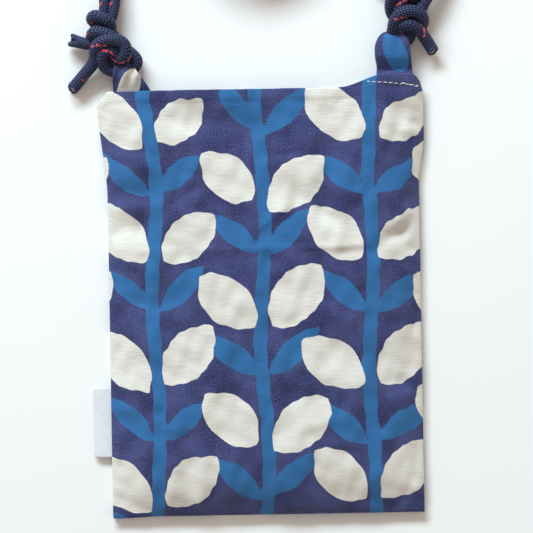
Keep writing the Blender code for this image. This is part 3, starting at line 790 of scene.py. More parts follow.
# The front's own creases, last the shallow one that the tab's stitches draw in
FRONT_CREASES = (
    Crease((-72.6, 13.1), (-29.1, 12.8), 1.6, 0.35, CreaseForm.SHARP),
    Crease((-29.1, 13.3), (20.9, 13.4), 2.0, 0.75, CreaseForm.SHARP),
    Crease((20.9, 13.4), (54.4, 14.4), 2.0, 0.8, CreaseForm.SHARP),
    Crease((-1.5, 21.8), (16.8, 35.5), 2.6, 1.0, CreaseForm.SHARP),
    Crease((16.4, 44.0), (40.1, 25.1), 3.6, -0.9),
    Crease((-44.8, 34.1), (-24.5, 47.2), 3.8, -1.1),
    Crease((-39.4, 52.5), (-26.0, 49.3), 2.8, -0.6),
    Crease((-77.4, 56.7), (-48.4, 54.7), 5.5, 1.2),
    Crease((-77.1, 43.2), (-53.6, 40.8), 4.5, -1.2),
    Crease((-75.7, 35.1), (-53.7, 36.3), 4.0, 0.9),
    Crease((-74.0, 22.6), (-53.9, 26.3), 4.5, -0.9),
    Crease((-48.0, 77.7), (-3.1, 73.9), 7.5, -1.5),
    Crease((3.2, 58.8), (23.2, 61.4), 1.9, -0.55),
    Crease((5.8, 67.7), (10.9, 73.6), 1.4, 0.45, CreaseForm.SHARP),
    Crease((26.3, 67.9), (34.4, 71.7), 1.6, 0.4, CreaseForm.SHARP),
    Crease((47.2, 29.5), (52.3, 39.4), 3.6, -0.9),
    Crease((33.7, 31.2), (40.2, 33.1), 2.4, 0.4),
    Crease((63.5, 16.7), (76.1, 22.5), 3.4, -1.5),
    Crease((72.3, 34.1), (78.4, 40.4), 3.2, -1.1),
    Crease((68.6, 25.6), (77.2, 30.5), 3.4, 0.8),
    Crease((35.9, 10.6), (54.9, 11.6), 2.6, -0.6),
    Crease((67.2, -52.4), (75.7, -56.5), 3.8, -1.1),
    Crease((69.6, -62.4), (77.1, -59.5), 3.2, 0.6),
    Crease((-64.6, -16.1), (-44.6, -11.4), 4.6, -0.9),
    Crease((-74.5, -64.9), (-63.0, -65.6), 3.2, 0.7),
    Crease((-58.1, -70.2), (-48.0, -65.4), 3.8, -0.9),
    Crease((-50.7, -75.8), (-30.7, -75.7), 3.2, 0.45),
    Crease((20.8, -76.6), (39.4, -71.4), 2.6, 0.55),
    Crease((34.2, -84.8), (41.7, -83.9), 2.4, 0.4),
    Crease((11.7, -24.9), (20.3, -20.0), 2.8, -0.5),
    Crease((41.6, -87.4), (51.6, -90.6), 2.8, -0.5),
    Crease((73.7, -113.5), (78.9, -103.6), 3.2, 0.7),
    Crease((67.6, -115.9), (72.7, -111.0), 2.8, -0.6),
    Crease((68.7, 87.6), (77.2, 86.5), 3.0, 0.6),
    Crease((78.0, 77.5), (80.9, 72.4), 3.2, -0.9),
    Crease((74.4, 70.5), (78.4, 72.5), 2.8, 0.6),
    Crease((55.5, 95.8), (81.0, 93.6), 2.0, -0.3),
)


@dataclass(frozen=True)
class ClothRelief:
    """Creases, seam puckers and slack waves of one panel."""

    creases: tuple[Crease, ...] = ()
    crease_scale: float = 1.4
    waves: int = 34
    wave_height: float = 0.18
    shortest: float = 7.0
    longest: float = 42.0
    pucker_height: float = 0.42
    pucker_pitch: float = 8.5
    pucker_reach: float = 6.0
    pucker_lean: float = 0.35
    pucker_drift: float = 1.7
    drift_length: float = 13.0
    beat_share: float = 0.4
    beat_lengths: tuple[float, float] = (17.0, 23.0)
    seed: int = 5

    def lift(self, x: np.ndarray, y: np.ndarray, from_seam: np.ndarray) -> np.ndarray:
        """How far the cloth stands over its smooth form.

        Args:
            x: Places across, in metres.
            y: Places up, in metres.
            from_seam: Distance to the nearest seam, in metres.

        Returns:
            The lift at each place, in metres.
        """
        across, up, seam = x / MM, y / MM, from_seam / MM
        total = np.zeros_like(across)
        for crease in self.creases:
            total += self.crease_scale * crease.lift(across, up)
        draws = np.random.default_rng(self.seed)
        for _ in range(self.waves):
            length = self.shortest * (self.longest / self.shortest) ** draws.random()
            heading = draws.random() * math.pi
            start = draws.random() * 2 * math.pi
            height = self.wave_height * math.sqrt(length / self.longest)
            swing = across * math.cos(heading) + up * math.sin(heading)
            total += height * np.sin(2 * math.pi * swing / length + start)
        swing = up / self.beat_lengths[0] + across / self.beat_lengths[1] + self.seed
        beat = (1.0 - self.beat_share) + self.beat_share * np.sin(swing)
        drift = self.pucker_drift * np.sin(up / self.drift_length)
        pucker = np.sin(2 * math.pi * (up + self.pucker_lean * across) / self.pucker_pitch + drift)
        total += self.pucker_height * beat * pucker * np.exp(-seam / self.pucker_reach)
        return total * MM


@dataclass(frozen=True)
class Leaf:
    """One printed leaf, pointed at both ends, in millimetres."""

    root: tuple[float, float]
    heading: float
    length: float
    width: float

    def distance(self, x: np.ndarray, y: np.ndarray) -> np.ndarray:
        """Signed distance from the leaf's edge, which is two arcs that meet at its points.

        Args:
            x: Places across, in millimetres.
            y: Places up, in millimetres.

        Returns:
            The distance at each place, negative inside, in millimetres.
        """
        along_x, along_y = math.sin(self.heading), math.cos(self.heading)
        middle_x = self.root[0] + along_x * self.length / 2
        middle_y = self.root[1] + along_y * self.length / 2
        side = (x - middle_x) * along_y - (y - middle_y) * along_x
        ahead = (x - middle_x) * along_x + (y - middle_y) * along_y
        radius = (self.length**2 + self.width**2) / (4 * self.width)
        offset = radius - self.width / 2
        left = np.hypot(side + offset, ahead)
        right = np.hypot(side - offset, ahead)
        return np.maximum(left, right) - radius


@dataclass(frozen=True)
class LeafPrint:
    """A cut-paper leaf print: blue stems in columns, with paired cream and blue leaves."""

    column_step: float = 54.0
    node_step: float = 61.0
    first_column: float = -1.0
    first_node: float = -23.0
    stem_width: float = 6.6
    cream_length: float = 37.0
    cream_width: float = 22.0
    cream_heading: float = 46.0
    blue_length: float = 32.0
    blue_width: float = 11.0
    blue_heading: float = 52.0
    blue_node: float = 0.58
    cream_root: float = 4.0
    blue_root: float = 2.0
    drop_spread: float = 2.0
    length_spread: float = 2.0
    cream_lean: float = 4.0
    cream_width_spread: float = 1.2
    blue_lean: float = 5.0
    blue_width_spread: float = 0.6
    sway: float = 1.6
    sway_length: float = 19.0
    # How the scissors waver along a cut edge, in waves and shorter nicks for each millimetre
    cut_wobble: float = 0.55
    waver: tuple[float, float] = (0.31, 0.27)
    waver_start: float = 1.1
    waver_bend: float = 1.3
    waver_bend_rate: float = 0.17
    nick: tuple[float, float] = (0.83, 0.6)
    nick_share: float = 0.5
    blue_cut_share: float = 0.7
    seed: int = 11
    reach: int = 3

    def fields(self, x: np.ndarray, y: np.ndarray) -> dict[str, np.ndarray]:
        """The printed shapes as distances from their edges.

        Args:
            x: Places across the cloth, in millimetres.
            y: Places up the cloth, in millimetres.

        Returns:
            For each ink, the signed distance at each place, negative inside its shapes.
        """
        draws = np.random.default_rng(self.seed)
        cream = np.full(np.shape(x), np.inf)
        blue = np.full(np.shape(x), np.inf)
        for column in range(-self.reach, self.reach + 1):
            stem_x = self.first_column + column * self.column_step
            half_drop = (column % 2) * self.node_step / 2
            sway = self.sway * np.sin(y / self.sway_length + column)
            blue = np.minimum(blue, np.abs(x - stem_x - sway) - self.stem_width / 2)
            for node in range(-self.reach, self.reach + 1):
                node_y = self.first_node + node * self.node_step + half_drop
                for side in (-1.0, 1.0):
                    lean, size, drop = draws.normal(0.0, 1.0, 3)
                    heading = math.radians(side * self.cream_heading + self.cream_lean * lean)
                    cream_leaf = Leaf(
                        (stem_x + side * self.cream_root, node_y + self.drop_spread * drop), heading,
                        self.cream_length + self.length_spread * size,
                        self.cream_width + self.cream_width_spread * size,
                    )
                    cream = np.minimum(cream, cream_leaf.distance(x, y))
                    lean, size, drop = draws.normal(0.0, 1.0, 3)
                    heading = math.radians(side * self.blue_heading + self.blue_lean * lean)
                    blue_y = node_y + self.node_step * self.blue_node
                    blue_leaf = Leaf(
                        (stem_x + side * self.blue_root, blue_y + self.drop_spread * drop), heading,
                        self.blue_length + self.length_spread * size,
                        self.blue_width + self.blue_width_spread * size,
                    )
                    blue = np.minimum(blue, blue_leaf.distance(x, y))
        bend = self.waver_bend * np.sin(y * self.waver_bend_rate)
        waver = np.sin(x * self.waver[0] + bend) * np.sin(y * self.waver[1] + self.waver_start)
        nick = self.nick_share * np.sin(self.nick[0] * x + self.nick[1] * y)
        cut = self.cut_wobble * (waver + nick)
        return {
            Ink.CREAM.value: (cream + cut) * MM, Ink.BLUE.value: (blue - self.blue_cut_share * cut) * MM,
        }


@dataclass(frozen=True)
class PouchForm:
    """The smooth form of the sewn body that panels, hems and linings share, in metres."""

    centre_x: float = 3.025 * MM
    width: float = 156.0 * MM
    bottom_y: float = -119.7 * MM
    mouth_y: float = 92.7 * MM
    mouth_thickness: float = 10.5 * MM
    body_thickness: float = 12.5 * MM
    canvas: float = 0.7 * MM
    cloth_gap: float = 0.3 * MM
    seam_gap: float = 0.2 * MM
    seam_height: float = 2.3 * MM
    seam_lift_width: float = 5.0 * MM
    seam_roll: float = 0.5 * MM
    body_steepness: float = 5.0
    mouth_steepness: float = 10.0
    bottom_steepness: int = 3
    back_hem_share: float = 0.6
    bottom_round: float = 38.0 * MM
    hem_depth: float = 12.0 * MM
    hem_run_out: float = 14.0 * MM
    left_flare: float = 4.9 * MM
    right_flare: float = 2.85 * MM
    left_flare_length: float = 54.0 * MM
    right_flare_length: float = 47.0 * MM
    bottom_ear: float = 0.8 * MM
    bottom_ear_width: float = 24.0 * MM
    tab_pull: float = 6.6 * MM
    tab_pull_start: float = 40.0 * MM
    tab_pull_run: float = 24.0 * MM
    left_bevel: float = 6.0 * MM
    left_bevel_width: float = 5.0 * MM
    right_round: float = 8.0 * MM
    right_round_width: float = 6.0 * MM

    @property
    def half(self) -> float:
        """Half the body's width."""
        return self.width / 2

    @property
    def hem_step(self) -> float:
        """How far the turned-in hem lies from the cloth over it."""
        return self.canvas + self.cloth_gap

    def side_edges(self, y: np.ndarray) -> tuple[np.ndarray, np.ndarray]:
        """X of the left and right side seams, which flare towards the mouth.

        Args:
            y: Heights up the pouch.

        Returns:
            The left and the right seam's X at each height.
        """
        left_rise = smooth((y - (self.mouth_y - self.left_flare_length)) / self.left_flare_length)
        right_rise = smooth((y - (self.mouth_y - self.right_flare_length)) / (self.right_flare_length / 2))
        left = self.centre_x - self.half - self.left_flare * left_rise
        right = self.centre_x + self.half + self.right_flare * right_rise
        return left, right

    def end_edges(self, across: np.ndarray) -> tuple[np.ndarray, np.ndarray]:
        """Y of the bottom seam and of the mouth edge, which the right tab pulls up.

        Args:
            across: Places from -1 to 1 across.

        Returns:
            The bottom's and the mouth's Y at each place.
        """
        x = self.centre_x + across * self.half
        from_left = (1.0 + across) * self.half
        from_right = (1.0 - across) * self.half
        bottom = self.bottom_y - self.bottom_ear * smooth(1.0 - from_left / self.bottom_ear_width)
        pull = self.tab_pull * smooth((x - self.tab_pull_start) / self.tab_pull_run)
        bevel = self.left_bevel * np.clip(1.0 - from_left / self.left_bevel_width, 0.0, 1.0)
        turn = np.clip(1.0 - from_right / self.right_round_width, 0.0, 1.0)
        corner = self.right_round * (1.0 - np.sqrt(1.0 - turn**2))
        return bottom, self.mouth_y + pull - bevel - corner

    def hem_zone(self, y: np.ndarray) -> np.ndarray:
        """1 where the mouth is hemmed, easing to 0 below the hem."""
        return smooth((y - (self.mouth_y - self.hem_depth - self.hem_run_out)) / self.hem_run_out)

    def across_x(self, across: np.ndarray, y: np.ndarray) -> np.ndarray:
        """X of a place from -1 to 1 between the side seams."""
        left, right = self.side_edges(y)
        return (left + right) / 2 + across * ((right - left) / 2 - self.seam_roll)

    def front(self, across: np.ndarray, y: np.ndarray) -> np.ndarray:
        """Middle of the front cloth: a low dome, steep at its seams and open at the mouth.

        Args:
            across: Places from -1 to 1 across.
            y: Heights up the pouch.

        Returns:
            The points.
        """
        bottom, _ = self.end_edges(across)
        edge = self.seam_height + self.seam_gap / 2 + self.canvas / 2 + 2 * self.seam_roll
        edge = edge + (self.hem_step - self.seam_roll) * self.hem_zone(y)
        rise = smooth(y / self.mouth_y)
        crest = self.body_thickness + (self.mouth_thickness - self.body_thickness) * rise - self.canvas / 2
        steepness = self.body_steepness + (self.mouth_steepness - self.body_steepness) * rise
        sideways = 1.0 - np.abs(across) ** steepness
        up = np.clip((y - bottom) / self.bottom_round, 0.0, 1.0)
        upwards = 1.0 - (1.0 - up) ** self.bottom_steepness
        return np.stack([self.across_x(across, y), y, edge + (crest - edge) * sideways * upwards], axis=-1)

    def back(self, across: np.ndarray, y: np.ndarray) -> np.ndarray:
        """Middle of the back cloth: flat on the table, lifted along the seams.

        Args:
            across: Places from -1 to 1 across.
            y: Heights up the pouch.

        Returns:
            The points.
        """
        bottom, _ = self.end_edges(across)
        edge = self.seam_height - self.seam_gap / 2 - self.canvas / 2 - 2 * self.seam_roll
        edge = edge + (self.seam_roll - self.hem_step * self.back_hem_share) * self.hem_zone(y)
        side = (1.0 - np.abs(across)) * self.half
        lift = np.maximum(
            smooth(1.0 - side / self.seam_lift_width), smooth(1.0 - (y - bottom) / self.seam_lift_width)
        )
        low = self.canvas / 2
        return np.stack([self.across_x(across, y), y, low + np.maximum(edge - low, 0.0) * lift], axis=-1)


class PanelSide(Enum):
    """Which outer panel a cloth piece is."""

    FRONT = "front"
    BACK = "back"


def sheet_normals(points: np.ndarray) -> np.ndarray:
    """Unit normals of a grid of points, upwards.

    Args:
        points: Rows of points, each row further up the cloth.

    Returns:
        A unit vector for each point.
    """
    along = np.gradient(points, axis=0)
    over = np.gradient(points, axis=1)
    normal = np.cross(over, along)
    return normal / np.maximum(np.linalg.norm(normal, axis=-1, keepdims=True), TINY)


@dataclass
class OuterPanel:
    """One printed outer panel: its dome, its turned seam edges and its turned-in hem."""

    form: PouchForm
    side: PanelSide
    print_design: LeafPrint
    relief: ClothRelief
    columns: int = 124
    rows: int = 168
    roll_steps: int = 5
    roll_turn: float = math.radians(165.0)
    roll_start: float = math.radians(28.0)
    hem_ridge: float = 0.55 * MM
    hem_ridge_below: float = 5.6 * MM
    hem_ridge_rise: float = 1.3 * MM
    hem_ridge_fade: float = 6.0 * MM
    seam_calm: float = 4.0 * MM
    calm_share: float = 0.25
    back_crease_share: float = 0.3
    back_crease_reach: float = 16.0 * MM
    fold_steps: int = 8
    hem_rows: int = 8
    squeeze_from: float = 4.0 * MM
    squeeze_to: float = 1.2 * MM
    squeeze_ease: float = 1.6
    slope_step: float = 1.0 * MM
    tab_clearance: float = 2.3
    freedom_above: float = 2.0
    seam_points: int = 60
    seam_float: float = 0.14 * MM
    materials: list[bpy.types.Material] = field(default_factory=list)

    @property
    def down(self) -> float:
        """The way to the pouch's inside in Z: -1 from the front panel, 1 from the back."""
        return -1.0 if self.side is PanelSide.FRONT else 1.0

    @property
    def roll_length(self) -> float:
        """How much cloth rolls in past the body's width at a seam."""
        return self.form.seam_roll * (self.roll_turn - self.roll_start)

    def surface(self, across: np.ndarray, y: np.ndarray) -> np.ndarray:
        """The panel's middle with its creases, from -1 to 1 across.

        Args:
            across: Places across.
            y: Heights up the pouch, in metres.

        Returns:
            The points, in metres.
        """
        form = self.form
        points = form.front(across, y) if self.side is PanelSide.FRONT else form.back(across, y)
        bottom, top = form.end_edges(across)
        from_side = (1.0 - np.abs(across)) * form.half
        from_seam = np.minimum(from_side, y - bottom)
        lift = self.relief.lift(points[..., 0], y, np.maximum(from_seam, 0.0))
        if self.side is PanelSide.FRONT:
            calm = smooth(from_seam / self.seam_calm) * (1.0 - self.calm_share) + self.calm_share
            ridge = self.hem_ridge * smooth((y - (top - self.hem_ridge_below)) / self.hem_ridge_rise)
            points[..., 2] += lift * calm + ridge * smooth(from_side / self.hem_ridge_fade)
        else:
            near = smooth(1.0 - from_seam / self.back_crease_reach)
            points[..., 2] += np.abs(lift) * self.back_crease_share * near
        return points

    def height_inside(self, x: np.ndarray, y: np.ndarray) -> np.ndarray:
        """How high a tab may lie under this panel, in millimetres, and freely above the mouth.

        Args:
            x: Places across, in millimetres.
            y: Places up, in millimetres.

        Returns:
            The greatest height of the tab's middle at each place, in millimetres.
        """
        form = self.form
        left, right = form.side_edges(y * MM)
        across = np.clip((x * MM - (left + right) / 2) / ((right - left) / 2), -1.0, 1.0)
        _, top = form.end_edges(across)
        inside = self.surface(across, np.minimum(y * MM, top))[..., 2] / MM
        return inside - self.tab_clearance + np.maximum(y - top / MM, 0.0) * self.freedom_above

    def seam_line(self, start: tuple[float, float], end: tuple[float, float]) -> np.ndarray:
        """A straight seam laid on the panel's outer face.

        Args:
            start: X and Y of its first point, in millimetres.
            end: X and Y of its last point, in millimetres.

        Returns:
            The seam's points, in metres.
        """
        share = np.linspace(0.0, 1.0, self.seam_points)[:, None]
        place = (np.array(start) + (np.array(end) - np.array(start)) * share) * MM
        left, right = self.form.side_edges(place[:, 1])
        across = (place[:, 0] - (left + right) / 2) / ((right - left) / 2 - self.form.seam_roll)
        line = self.surface(across, place[:, 1])
        line[:, 2] += self.form.canvas / 2 + self.seam_float
        return line

    def body(self, s: np.ndarray, roll: np.ndarray) -> np.ndarray:
        """The panel from its bottom seam to its mouth, with its seam edges rolled in.

        Args:
            s: Places across the flat cloth, past the body's width on a rolled edge, in metres.
            roll: Lengths along a rolled edge, in metres.

        Returns:
            A grid of points, bottom row first.
        """
        form = self.form
        across = np.clip(s / form.half, -1.0, 1.0)
        bottom, top = form.end_edges(across)
        share = np.linspace(0.0, 1.0, self.rows)[:, None]
        start = bottom + form.seam_roll
        heights = start + (top - form.hem_step / 2 - start) * share
        past_end = np.zeros_like(heights)
        heights = np.vstack([np.repeat(start[None], len(roll), axis=0), heights])
        past_end = np.vstack([np.repeat(roll[::-1, None], len(s), axis=1), past_end])
        past_side = np.maximum(np.abs(s) - form.half, 0.0)[None, :] + 0.0 * heights
        points = self.surface(across[None, :] + 0.0 * heights, heights)
        past = np.maximum(past_side, past_end)
        turn = self.roll_start + past / form.seam_roll
        out = np.where(past > 0, np.sin(turn) - math.sin(self.roll_start), 0.0) * form.seam_roll
        fall = np.where(past > 0, math.cos(self.roll_start) - np.cos(turn), 0.0) * form.seam_roll
        size = np.maximum(np.hypot(past_side, past_end), TINY)
        points[..., 0] += np.sign(s)[None, :] * out * past_side / size
        points[..., 1] -= out * past_end / size
        points[..., 2] += self.down * fall
        return points

    def hem(self, s: np.ndarray, squeeze: np.ndarray) -> np.ndarray:
        """The turned-in hem, one cloth step inside the panel and narrower at its ends.

        Args:
            s: Places across the flat cloth, in metres.
            squeeze: How far each place is drawn in beside the seams, from 0 to 1.

        Returns:
            A grid of points, from the mouth down.
        """
        form = self.form
        drawn_in = form.half - self.squeeze_from + squeeze * (self.squeeze_from - self.squeeze_to)
        across = np.sign(s) * np.where(squeeze > 0, drawn_in, np.abs(s)) / form.half
        _, top = form.end_edges(np.clip(s / form.half, -1.0, 1.0))
        radius = form.hem_step / 2
        rows = []
        for share_down in np.linspace(0.0, 1.0, self.hem_rows):
            y = top - radius - share_down * (form.hem_depth - radius)
            pair = np.stack([self.surface(across, y - self.slope_step), self.surface(across, y)])
            rows.append(pair[-1] + sheet_normals(pair)[-1] * self.down * form.hem_step)
        return np.array(rows)

    def fold(self, body: np.ndarray, hem_top: np.ndarray, squeeze: np.ndarray) -> np.ndarray:
        """The mouth edge, where the cloth turns from the panel down into its hem.

        Args:
            body: The panel's points, bottom row first.
            hem_top: The hem's first row of points.
            squeeze: How far each place is drawn in beside the seams, from 0 to 1.

        Returns:
            A grid of points, from the panel's last row to the hem.
        """
        radius = self.form.hem_step / 2
        blend = smooth(squeeze * self.squeeze_ease)[:, None]
        normal = sheet_normals(body[-2:])[-1] * self.down
        rows = []
        for step in range(1, self.fold_steps):
            angle = math.pi * step / self.fold_steps
            ahead = np.array([0.0, radius * math.sin(angle), 0.0])
            outer = body[-1] + ahead + normal * radius * (1.0 - math.cos(angle))
            weight = blend * smooth(step / self.fold_steps)
            rows.append(outer * (1.0 - weight) + (hem_top + ahead) * weight)
        return np.array(rows)

    def build(self) -> bpy.types.Object:
        """Make the panel as one sheet with its cloth thickness.

        Returns:
            The panel's object.
        """
        form = self.form
        roll = np.linspace(0.0, self.roll_length, self.roll_steps + 1)[1:]
        even = np.linspace(-form.half, form.half, self.columns)
        s = np.concatenate([-form.half - roll[::-1], even, form.half + roll])
        squeeze_run = self.squeeze_from + self.roll_length
        squeeze = np.clip((np.abs(s) - (form.half - self.squeeze_from)) / squeeze_run, 0.0, 1.0)
        body = self.body(s, roll)
        hem = self.hem(s, squeeze)
        grid = np.concatenate([body, self.fold(body, hem[0], squeeze), hem])
        rows, columns, _ = grid.shape
        steps = np.linalg.norm(np.diff(grid, axis=0), axis=2)
        travelled = np.concatenate([np.zeros((1, columns)), np.cumsum(steps, axis=0)])
        bottom, _ = form.end_edges(np.clip(s / form.half, -1.0, 1.0))
        flat_y = travelled + (bottom - self.roll_length)[None, :]
        flat_x = np.repeat(s[None, :], rows, axis=0)
        inks = self.print_design.fields(flat_x / MM, flat_y / MM)
        obj = new_piece(
            f"{self.side.value}_panel_cloth", grid.reshape(-1, 3),
            grid_faces(rows, columns, flip=self.side is PanelSide.BACK), self.materials,
            np.stack([flat_x, flat_y], axis=-1).reshape(-1, 2),
            {key: value.ravel() for key, value in inks.items()},
        )
        thicken(obj, form.canvas)
        settle(obj, "printed_canvas", f"outer_{self.side.value}_panel")
        return obj


@dataclass
class Lining:
    """One lining panel: a thin sheet inside an outer panel, up to its hem."""

    panel: OuterPanel
    material: bpy.types.Material
    cloth: float = 0.5 * MM
    gap: float = 0.5 * MM
    inset: float = 6.0 * MM
    columns: int = 70
    rows: int = 90

    def build(self) -> bpy.types.Object:
        """Make the lining panel.

        Returns:
            The lining's object.
        """
        form = self.panel.form
        down = self.panel.down
        reach = 1.0 - self.inset / form.half
        across = np.linspace(-reach, reach, self.columns)
        bottom, top = form.end_edges(across)
        lowest = bottom + self.inset
        highest = top - form.hem_depth - form.canvas - 2 * self.gap
        heights = lowest + (highest - lowest) * np.linspace(0.0, 1.0, self.rows)[:, None]
        sheet = self.panel.surface(across[None, :] + 0.0 * heights, heights)
        sheet = sheet + sheet_normals(sheet) * down * (form.canvas / 2 + self.gap + self.cloth / 2)
        side = self.panel.side.value
        flat = sheet[..., :2].reshape(-1, 2)
        obj = new_piece(
            f"{side}_lining_cloth", sheet.reshape(-1, 3), grid_faces(self.rows, self.columns, down > 0),
            [self.material], flat,
        )
        thicken(obj, self.cloth)
        settle(obj, "lining_cotton", f"lining_{side}")
        return obj


class RopeEnd(Enum):
    """What the last millimetres of a rope look like."""

    HIDDEN = "hidden in the knot"
    CUT = "cut, with its core drawn in"
    SPLIT = "cut, its braid parted in two"


@dataclass
class RopeTube:
    """One length of braided rope as a tube with the braid's relief."""

    braid: BraidedRope
    centres: np.ndarray
    around: int
    far_end: RopeEnd = RopeEnd.HIDDEN
    diameter: float = ROPE_DIAMETER
    turn_start: float = 0.0
    along_start: float = 0.0
    # The closing rings of a cut end: share of the radius, reach in millimetres, 1 for core
    cut_profile: tuple[tuple[float, float, float], ...] = (
        (0.98, 0.25, 0.0), (0.86, 0.45, 0.0), (0.7, 0.1, 0.0), (0.6, -0.9, 1.0), (0.5, -1.8, 1.0),
        (0.25, -1.5, 1.0),
    )
    fray: float = 0.22 * MM
    cut_slant: float = 0.75
    upright: float = 0.9
    cut_step: float = 0.3 * MM
    split_length: float = 4.5 * MM
    split_depth: float = 3.4 * MM
    cleft_width: float = 0.45
    cleft_pinch: float = 0.72
    split_swell: float = 0.12
    seed: int = 3

    def axes(self) -> tuple[np.ndarray, np.ndarray, np.ndarray]:
        """Tangent and two cross directions at each centre, without twist.

        Returns:
            Three arrays of unit vectors.
        """
        tangents = np.gradient(self.centres, axis=0)
        tangents /= np.linalg.norm(tangents, axis=1, keepdims=True)
        up = np.array([0.0, 0.0, 1.0])
        if abs(tangents[0] @ up) > self.upright:
            up = np.array([1.0, 0.0, 0.0])
        normals = np.zeros_like(tangents)
        normal = up
        for index, tangent in enumerate(tangents):
            normal = normal - tangent * (tangent @ normal)
            normal = normal / np.linalg.norm(normal)
            normals[index] = normal
        return tangents, normals, np.cross(tangents, normals)

    def mesh_parts(self) -> tuple[np.ndarray, list[tuple[int, ...]], np.ndarray, np.ndarray]:
        """The tube's vertices, faces, corner places on the braid, and core marks.

        Returns:
            Points, faces, one (turn, length) row for each face corner, and one mark for each point.
        """
        tangents, normals, sides = self.axes()
        steps = np.linalg.norm(np.diff(self.centres, axis=0), axis=1)
        along = self.along_start + np.concatenate([[0.0], np.cumsum(steps)])
        turn = np.arange(self.around) / self.around
        angle = 2 * math.pi * turn
        cos, sin = np.cos(angle)[None, :, None], np.sin(angle)[None, :, None]
        circle = cos * normals[:, None] + sin * sides[:, None]
        height = self.braid.height(turn[None, :] + self.turn_start, along[:, None])
        radius = self.diameter / 2 - self.braid.relief * (1.0 - height)
        cleft = np.exp(-((np.sin(angle) / self.cleft_width) ** 2))
        if self.far_end is RopeEnd.SPLIT:
            parting = smooth((along - (along[-1] - self.split_length)) / self.split_length)[:, None]
            swell = self.split_swell * parting * (1.0 - cleft[None, :])
            radius = radius * (1.0 + swell - self.cleft_pinch * parting * cleft[None, :])
        rings = self.centres[:, None] + circle * radius[..., None]
        marks = np.zeros((len(rings), self.around))
        if self.far_end is not RopeEnd.HIDDEN:
            draws = np.random.default_rng(self.seed)
            ragged = draws.normal(0.0, self.fray, self.around)
            ragged = (ragged + np.roll(ragged, 1)) / 2
            for factor, forward, core in self.cut_profile:
                reach = forward * MM + ragged * (1.0 - core)
                if self.far_end is RopeEnd.SPLIT:
                    reach = reach - self.split_depth * cleft
                reach = reach - self.cut_slant * radius[-1] * factor * circle[-1][:, 2]
                ring = self.centres[-1] + circle[-1] * (radius[-1] * factor)[:, None]
                ring = ring + tangents[-1] * reach[:, None]
                rings = np.concatenate([rings, ring[None]])
                marks = np.vstack([marks, np.full(self.around, core)])
                along = np.append(along, along[-1] + self.cut_step)
        left = np.broadcast_to(turn + self.turn_start, (len(rings) - 1, self.around))
        right = left + 1.0 / self.around
        low = np.broadcast_to(along[:-1, None], left.shape)
        high = np.broadcast_to(along[1:, None], left.shape)
        corners = np.stack([left, low, right, low, right, high, left, high], axis=-1).reshape(-1, 2)
        ends = [(0.0, along[0])] * self.around + [(0.0, along[-1])] * self.around
        faces = band_faces(len(rings), self.around)
        return rings.reshape(-1, 3), faces, np.vstack([corners, ends]), marks.ravel()


def rope_piece(name: str, tubes: Sequence[RopeTube], material: bpy.types.Material) -> bpy.types.Object:
    """Join rope tubes into one piece.

    Args:
        name: The piece's name.
        tubes: The ropes in it.
        material: Their finish.

    Returns:
        The piece.
    """
    points, faces, places, marks = [], [], [], []
    start = 0
    for tube in tubes:
        tube_points, tube_faces, tube_places, tube_marks = tube.mesh_parts()
        points.append(tube_points)
        faces += [tuple(start + corner for corner in face) for face in tube_faces]
        places.append(tube_places)
        marks.append(tube_marks)
        start += len(tube_points)
    return new_piece(
        name, np.vstack(points), faces, [material], np.vstack(places), {"core": np.concatenate(marks)},
    )


@dataclass
class Knot:
    """Both ropes' ends tied round one tab, from where the strap goes under the first wrap."""

    side: str
    braid: BraidedRope
    material: bpy.types.Material
    routes: tuple[Route, Route]
    ends: tuple[RopeEnd, RopeEnd]
    turn_starts: tuple[float, float] = (0.0, 0.0)
    pressed_diameter: float = 6.15 * MM
    around: int = 32
    spacing: float = 0.45 * MM
    start_window: int = 80

    def build(self) -> bpy.types.Object:
        """Make the knot.

        Returns:
            The piece that holds both tied ends.
        """
        tubes = []
        for route, end, turn in zip(self.routes, self.ends, self.turn_starts):
            centres = smooth_route(np.array(route) * MM, self.spacing)
            start = np.array(route[HIDDEN_POINTS]) * MM
            near = centres[:self.start_window]
            first = int(np.argmin(np.linalg.norm(near - start, axis=1)))
            tubes.append(RopeTube(
                self.braid, centres[first:], self.around, end, self.pressed_diameter, turn
            ))
        piece = rope_piece(f"{self.side}_knot_ropes", tubes, self.material)
        return settle(piece, "braided_rope", f"{self.side}_knot")


